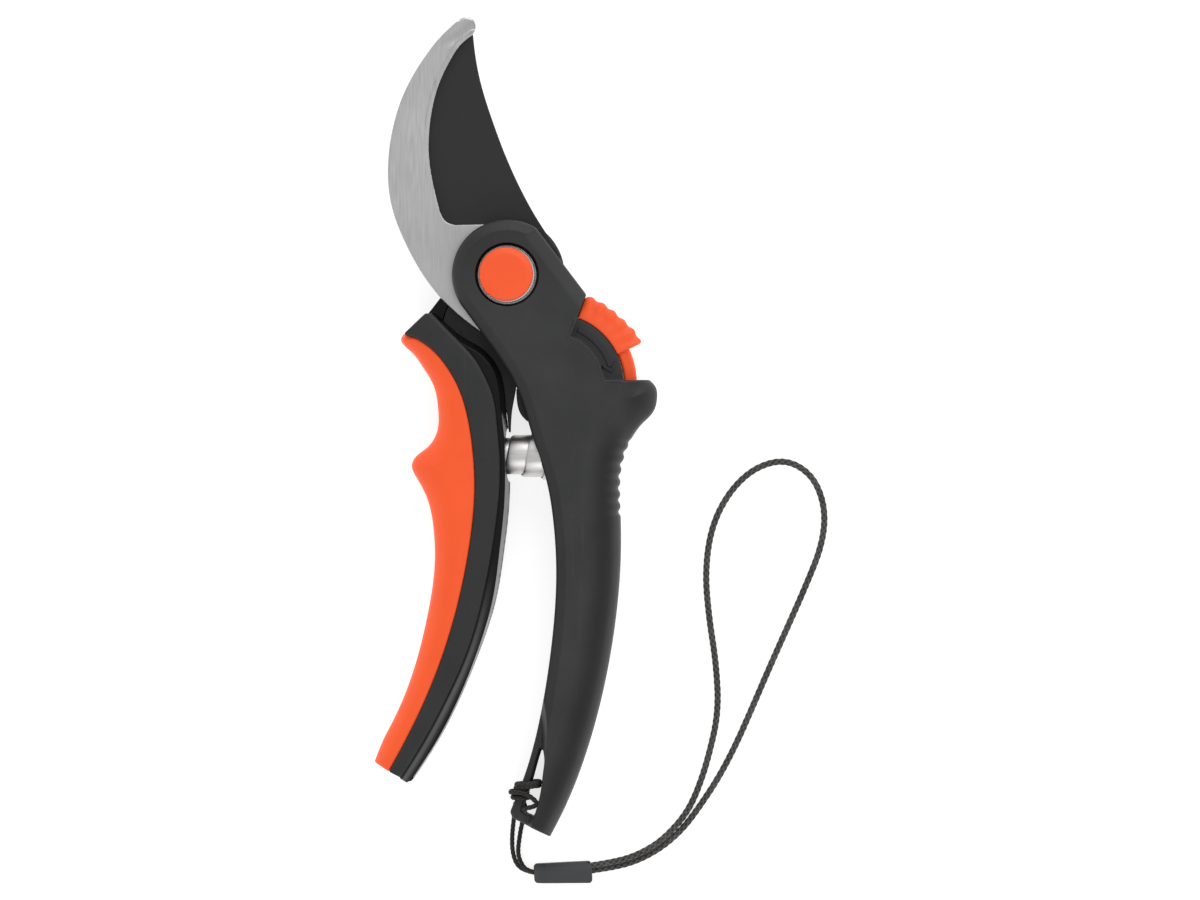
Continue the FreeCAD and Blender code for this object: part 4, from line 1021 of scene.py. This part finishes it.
def shell_field(x, y, z):
    d = shell_area(x, y)
    top = HALF - 0.15 * (1 - ramp(-d, 0.0, 5.0)) - band_drop(groove_line(x, y), 1.0, 0.45)
    f = meet(d, both_faces(z) - top, 0.4)
    return cut(f, np.maximum(seat_space(x, y, z, 10.0), MOVING_SEAT_END - x), 0.2)


def core_field(x, y, z):
    """The band, drafted on its inner side and let in under the shell, and the neck round the blade's tang."""
    draft = (1.35 - ramp(-y, 62.0, 112.0)) * both_faces(z) / CORE_HALF
    under_shell = 0.3 * (groove_line(x, y) < core_line(x, y))
    drafted = np.maximum(core_area(x, y) - under_shell, draft - core_line(x, y))
    band = meet(drafted, both_faces(z) - CORE_HALF, 0.35)
    tang_room = np.maximum(blade_area(x, y) - 0.05, TANG_ROOM_LOW - z)
    neck = cut(meet(neck_area(x, y), np.abs(z - 4.5) - 3.9, 0.3), tang_room, 0.05)
    f = join(band, neck, 0.1)
    return cut(f, np.maximum(seat_space(x, y, z, 10.0), MOVING_SEAT_END - x), 0.2)


def core_shade(x, y, z):
    """0 where a painted highlight lights the lower half of the band beside the groove, 1 elsewhere; the groove stays
    dark as painted shade.
    """
    beside = groove_line(x, y)
    return 1 - ramp(-y, 72.0, 110.0) * crest(beside - 0.9, 0.9) * ramp(beside, 0.1, 0.6)


grip = solid("soft_grip", grip_field, (-38.0, -134.0, -0.8), (-6.0, -13.0, 18.8))
finish_piece(grip, "moving_handle", "orange_grip", orange_grip, "moving_handle_grip")
shell = solid("cover_shell", shell_field, (-34.0, -134.0, -0.8), (0.0, -8.0, 18.8))
finish_piece(shell, "moving_handle", "black_plastic", black_plastic, "moving_handle_shell")
core = solid("core_band", core_field, (-30.5, -134.5, -0.2), (3.0, -3.5, 17.2))
finish_piece(core, "moving_handle", "core_plastic", core_plastic, "moving_handle_core")
# Painted highlight beside the groove on the band's lower half, painted shade in the groove.
mark_points(core, "shade", core_shade)


# ---------------------------------------------------------------- lock slider

PAD_START, PAD_END, RIBS = 25.0, 69.0, 5.5


def slider_field(x, y, z):
    """The thumb slide about the lock pin: a ribbed pad and its thinner tail."""
    r = np.hypot(x - LOCK[0], y - LOCK[1])
    angle = angle_about(LOCK, x, y)
    wave = 0.5 - 0.5 * np.cos(2 * math.pi * RIBS * (angle - PAD_START - 1.0) / (PAD_END - PAD_START))
    outer = 24.5 + 0.45 * (1 - wave) + 0.75 * ramp(-angle, -48.0, -27.0)
    side = np.maximum(PAD_START - angle, angle - PAD_END - 0.8) * math.pi / 180 * r
    top = 15.7 - 0.45 * wave * ramp(r, 19.5, 22.5) - round_drop(24.9 - r, 3.0, 1.1)
    pad = meet(meet(meet(r - outer, side, 0.9), 18.45 - r, 0.3), z - top, 0.5)
    pad = meet(pad, 3.2 - z, 0.6)
    tail_side = np.maximum(-12.0 - angle, angle - 26.0) * math.pi / 180 * r
    tail = meet(meet(np.maximum(18.45 - r, r - 21.9), tail_side, 0.1), np.abs(z - 9.7) - 4.7, 0.9)
    return join(pad, tail, 0.15)


slider = solid("thumb_slide", slider_field, (18.0, -34.5, 2.4), (38.0, -3.5, 16.4), CELL * 0.7)
finish_piece(slider, "lock", "orange_plastic", orange_plastic, "lock_slider")


# ---------------------------------------------------------------- pivot


def turned(name, profile, teeth=0, depth=0.0, sides=180, centre=(0.0, 0.0)):
    """A turned piece about an upright axis, from its profile of radius and height, with knurls if wanted."""
    profile = np.array(profile, float)
    angle = np.linspace(0, 2 * math.pi, sides, endpoint=False)
    vertices = []
    for radius, height in profile:
        r = np.full(sides, radius)
        if teeth and radius > 7.0:
            r = r - depth * (0.5 + 0.5 * np.cos(teeth * angle))
        vertices.append(np.stack([centre[0] + r * np.cos(angle), centre[1] + r * np.sin(angle),
                                  np.full(sides, height)], 1))
    faces = []
    k = np.arange(sides)
    n = (k + 1) % sides
    for i in range(len(profile) - 1):
        a, b = i * sides, (i + 1) * sides
        faces.append(np.stack([a + k, a + n, b + n, b + k], 1))
    return new_object(name, np.concatenate(vertices), np.concatenate(faces))


def split_edges(obj, degrees):
    """Sharp shading at edges that turn more than this."""
    edges = obj.modifiers.new("edges", "EDGE_SPLIT")
    edges.split_angle = math.radians(degrees)


def shoulder_profile(radius, low, high, round_radius, steps=6):
    """A lid's side and its rounded shoulder."""
    points = [(radius, low)]
    for step in range(steps + 1):
        a = math.radians(90.0 * step / steps)
        points.append((radius - round_radius * (1 - math.cos(a)), high - round_radius * (1 - math.sin(a))))
    return points


cap_profile = [(0.02, 16.42), (6.95, 16.42)] + shoulder_profile(7.1, 16.6, 18.7, 1.0) + [
    (6.0, 18.74), (5.7, 18.9), (5.2, 18.97), (3.0, 19.0), (0.02, 19.0)]
cap = turned("round_cap", cap_profile, sides=96, centre=(-0.25, 0.12))
finish_piece(cap, "tension_nut", "orange_plastic", orange_plastic, "pivot_cap")
nut_profile = [(4.05, 12.66), (7.1, 12.66), (7.35, 12.9), (7.35, 14.3), (7.35, 16.2), (7.3, 16.32),
               (7.1, 16.36), (6.6, 16.38), (4.05, 16.38), (4.05, 12.66)]
nut = turned("knurled_nut", nut_profile, teeth=60, depth=0.18, sides=480)
split_edges(nut, 35)
finish_piece(nut, "tension_nut", "satin_steel", polished_steel, "pivot_nut")

rivet_profile = [(0.02, 0.9), (1.28, 0.9), (1.28, 8.95), (1.1, 9.02), (0.6, 9.07), (0.02, 9.08)]
# The tang rivets take the blade's black coating as painted shade for the dark gap they sit in; their slot keeps the
# satin steel finish.
for number, place in enumerate(((-13.2, -15.8), (-6.8, -23.0))):
    rivet = turned(f"tang_rivet_{number}", rivet_profile, sides=40, centre=place)
    stands_for = ["blade_rivets"] if number == 0 else []
    finish_piece(rivet, "moving_handle", "satin_steel", coated_blade, *stands_for)


# ---------------------------------------------------------------- volute spring


SPRING_START, SPRING_END = -6.5, 21.0


def volute(turns=3.6, pitch=5.2, width=9.5, radius=3.9, growth=0.7, strip=0.4):
    """One flat strip wound along a cone, each turn partly inside the next."""
    count = int(turns * (48 if QUICK else 96))
    phi = np.linspace(0, 2 * math.pi * turns, count)
    vertices = []
    across = ((0.0, 0.0), (0.25, 0.0), (0.5, 0.0), (0.75, 0.0), (1.0, 0.0),
              (1.0, 0.5), (0.96, 1.0), (0.5, 1.0), (0.05, 1.0), (0.0, 0.3))
    for a in phi:
        r = radius + growth * a / (2 * math.pi)
        x = SPRING_START + pitch * a / (2 * math.pi)
        for along, out in across:
            reach = r + strip * out
            vertices.append((x + width * along, SEAT_Y - reach * math.cos(a), SEAT_Z + reach * math.sin(a)))
    around = len(across)
    k = np.arange(around)
    n = (k + 1) % around
    faces = [np.stack([i * around + k, i * around + n, (i + 1) * around + n, (i + 1) * around + k], 1)
             for i in range(count - 1)]
    caps = []
    for first in (0, (count - 1) * around):
        caps += [[first + j, first + j + 1, first + 8 - j, first + 9 - j] for j in range(4)]
    spring = new_object("volute_spring", np.array(vertices), np.concatenate(faces + [np.array(caps)]))
    split_edges(spring, 40)
    return spring


spring = volute()
finish_piece(spring, None, "spring_steel", spring_steel, "return_spring")
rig.blend(spring, "fixed_handle", "moving_handle", tuple(to_row([(SPRING_END, SEAT_Y, SEAT_Z)])[0]),
         tuple(to_row([(SPRING_START, SEAT_Y, SEAT_Z)])[0]))


# ---------------------------------------------------------------- clip and hitch

CLIP_CENTRE, CLIP_TILT = (14.65, -157.35), math.radians(2.9)


def clip_field(x, y, z):
    """The clip: a wedge in plan, a low ridge between the facets of its top, a mouth for the strap."""
    c, s = math.cos(CLIP_TILT), math.sin(CLIP_TILT)
    u = (x - CLIP_CENTRE[0]) * c + (y - CLIP_CENTRE[1]) * s
    v = -(x - CLIP_CENTRE[0]) * s + (y - CLIP_CENTRE[1]) * c
    lower = -2.75 + 0.045 * (-u)
    plan = meet(np.abs(u) - 7.65, np.maximum(v - 2.75, lower - v), 1.0)
    ridge = 1.05 - 0.055 * u
    facets = 4.6 - 0.75 * np.maximum(v - ridge, 0) - 0.12 * np.maximum(ridge - v, 0)
    facets -= 0.16 * crest(v - ridge, 0.25)
    left = np.clip((-4.4 - u) / 3.0, 0, 1)
    f = meet(meet(plan, z - facets + 1.3 * left**1.6, 0.25), -z, 0.3)
    mouth = np.maximum(np.maximum(6.6 - u, np.abs(v - 0.7) - 1.7), np.abs(z - 1.85) - 1.55)
    return cut(f, mouth, 0.15)


clip = solid("strap_clip", clip_field, (6.0, -161.5, -0.5), (23.6, -152.5, 5.2), 0.3 if QUICK else 0.2)
finish_piece(clip, "fixed_handle", "clip_plastic", clip_plastic, "cord_clip")


def hitch_turn(y, left, right, lean=0.0, top=15.2, low=2.35):
    """One closed turn of cord round the bar, wider than the bar on the side that it is pulled to."""
    return [(left, y, 9.0), (left, y, top - 1.6), (left + 0.9, y, top), (right - 1.0, y + lean, top),
            (right, y + lean, top - 1.4), (right, y + lean, 9.0), (right - 0.2, y + lean, low + 1.4),
            (right - 1.2, y + lean, low), (left + 0.9, y, low), (left, y, low + 1.2), (left, y, 9.0)]


HITCH_TURNS = [
    hitch_turn(-133.9, 2.5, 8.6, 0.65, 15.5),
    hitch_turn(-134.8, 2.3, 8.4, 0.75, 15.3),
    hitch_turn(-137.2, 1.5, 5.6),
    [(5.3, -136.1, 5.0), (4.6, -136.0, 2.3), (2.2, -135.8, 2.3), (1.1, -135.8, 4.0), (0.95, -135.8, 9.0),
     (1.0, -135.8, 13.8), (1.9, -135.7, 15.6), (4.0, -135.8, 16.2), (5.9, -136.7, 15.8), (7.5, -138.0, 15.4),
     (8.0, -138.9, 15.0), (6.8, -139.6, 15.0), (5.2, -139.9, 15.0), (3.9, -140.3, 13.8), (3.6, -140.4, 9.0)],
]
for number, route in enumerate(HITCH_TURNS):
    turn_line = read_route(f"hitch_{number}", route, 0.4 if QUICK else 0.15)
    hitch = braided(f"hitch_turn_{number}", turn_line, 0.66, 1.2)
    stands_for = ["tie_knot"] if number == 0 else []
    finish_piece(hitch, "fixed_handle", "cord_fabric", cord_fabric, *stands_for)

strap_exit = to_row(strap_line[:1])[0]
tie_exit = to_row(tie_line[:1])[0]
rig.cord(strap, exit=strap_exit, length=cord_length(strap_line), diameter=0.0016, far_end="object",
        stiffness="limp", lay="loose", path=to_row(strap_line), with_pieces=[clip])
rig.cord(tie, exit=tie_exit, length=cord_length(tie_line), diameter=0.0012, far_end="object",
        stiffness="limp", lay="loose", path=to_row(tie_line))


# ---------------------------------------------------------------- finishes of the CAD pieces that stay

CAD_FINISHES = {
    "hook_rivets": satin_steel,
    "handle_screws": satin_steel,
    "lock_pin": satin_steel,
    "lock_lever": satin_steel,
    "lock_detent_spring": spring_steel,
    "pivot_bolt": satin_steel,
    "thrust_washer": satin_steel,
    "spring_washer": spring_steel,
    "blade_bushing": brass,
}
for node, finish in CAD_FINISHES.items():
    data = frame["nodes"][node].data
    data.materials.clear()
    data.materials.append(finish)


# ---------------------------------------------------------------- studio


def studio():
    """A pale floor, a pale dome that is darker overhead and two broad soft lights."""
    size = 1.5
    corners = np.array([(-size, -size, 0), (size, -size, 0), (size, size, 0), (-size, size, 0)]) / MM
    floor = new_object("floor", corners, np.array([[0, 1, 2, 3]]))
    paper = Surface("paper", (0.55, 0.55, 0.55), 0.9, specular=0.1)
    grain = paper.noise(400.0, 3.0)
    paper.tint(grain, (0.54, 0.54, 0.54), (0.56, 0.56, 0.56))
    paper.shader.inputs["Emission Color"].default_value = (1.0, 1.0, 1.0, 1.0)
    paper.shader.inputs["Emission Strength"].default_value = 0.75
    floor.data.materials.append(paper.material)
    lights = [floor]
    for name, place, width, height, power in (
        ("key", (0.3, 0.85, 0.8), 1.3, 0.55, 4.6),
        ("fill", (0.05, -0.95, 0.75), 1.0, 0.5, 2.4),
    ):
        data = bpy.data.lights.new(name, "AREA")
        data.shape = "RECTANGLE"
        data.size = width
        data.size_y = height
        data.energy = power
        light = bpy.data.objects.new(name, data)
        light.location = place
        light.rotation_euler = (Vector((0.0, 0.0, 0.0)) - Vector(place)).to_track_quat("-Z", "Y").to_euler()
        bpy.context.scene.collection.objects.link(light)
        lights.append(light)
    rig.stage(*lights)
    world = bpy.data.worlds.new("dome")
    world.use_nodes = True
    tree = world.node_tree
    background = tree.nodes["Background"]
    coordinates = tree.nodes.new("ShaderNodeTexCoord")
    split = tree.nodes.new("ShaderNodeSeparateXYZ")
    ramp_node = tree.nodes.new("ShaderNodeValToRGB")
    elements = ramp_node.color_ramp.elements
    elements[0].position, elements[1].position = 0.0, 1.0
    elements[0].color, elements[1].color = (1.0, 1.0, 1.0, 1.0), (0.56, 0.56, 0.56, 1.0)
    for height, level in ((0.2, 0.9), (0.5, 0.45), (0.8, 0.4), (0.93, 0.52)):
        elements.new(height).color = (level, level, level, 1.0)
    tree.links.new(coordinates.outputs["Generated"], split.inputs[0])
    tree.links.new(split.outputs["Z"], ramp_node.inputs[0])
    tree.links.new(ramp_node.outputs[0], background.inputs["Color"])
    background.inputs["Strength"].default_value = 1.36
    bpy.context.scene.world = world
    bpy.context.scene.view_settings.view_transform = "Standard"


studio()
with open("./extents.json", "w") as sizes:
    json.dump([[list(corner) for corner in bounds] for bounds in (bounds_at_load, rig.bounds())], sizes)
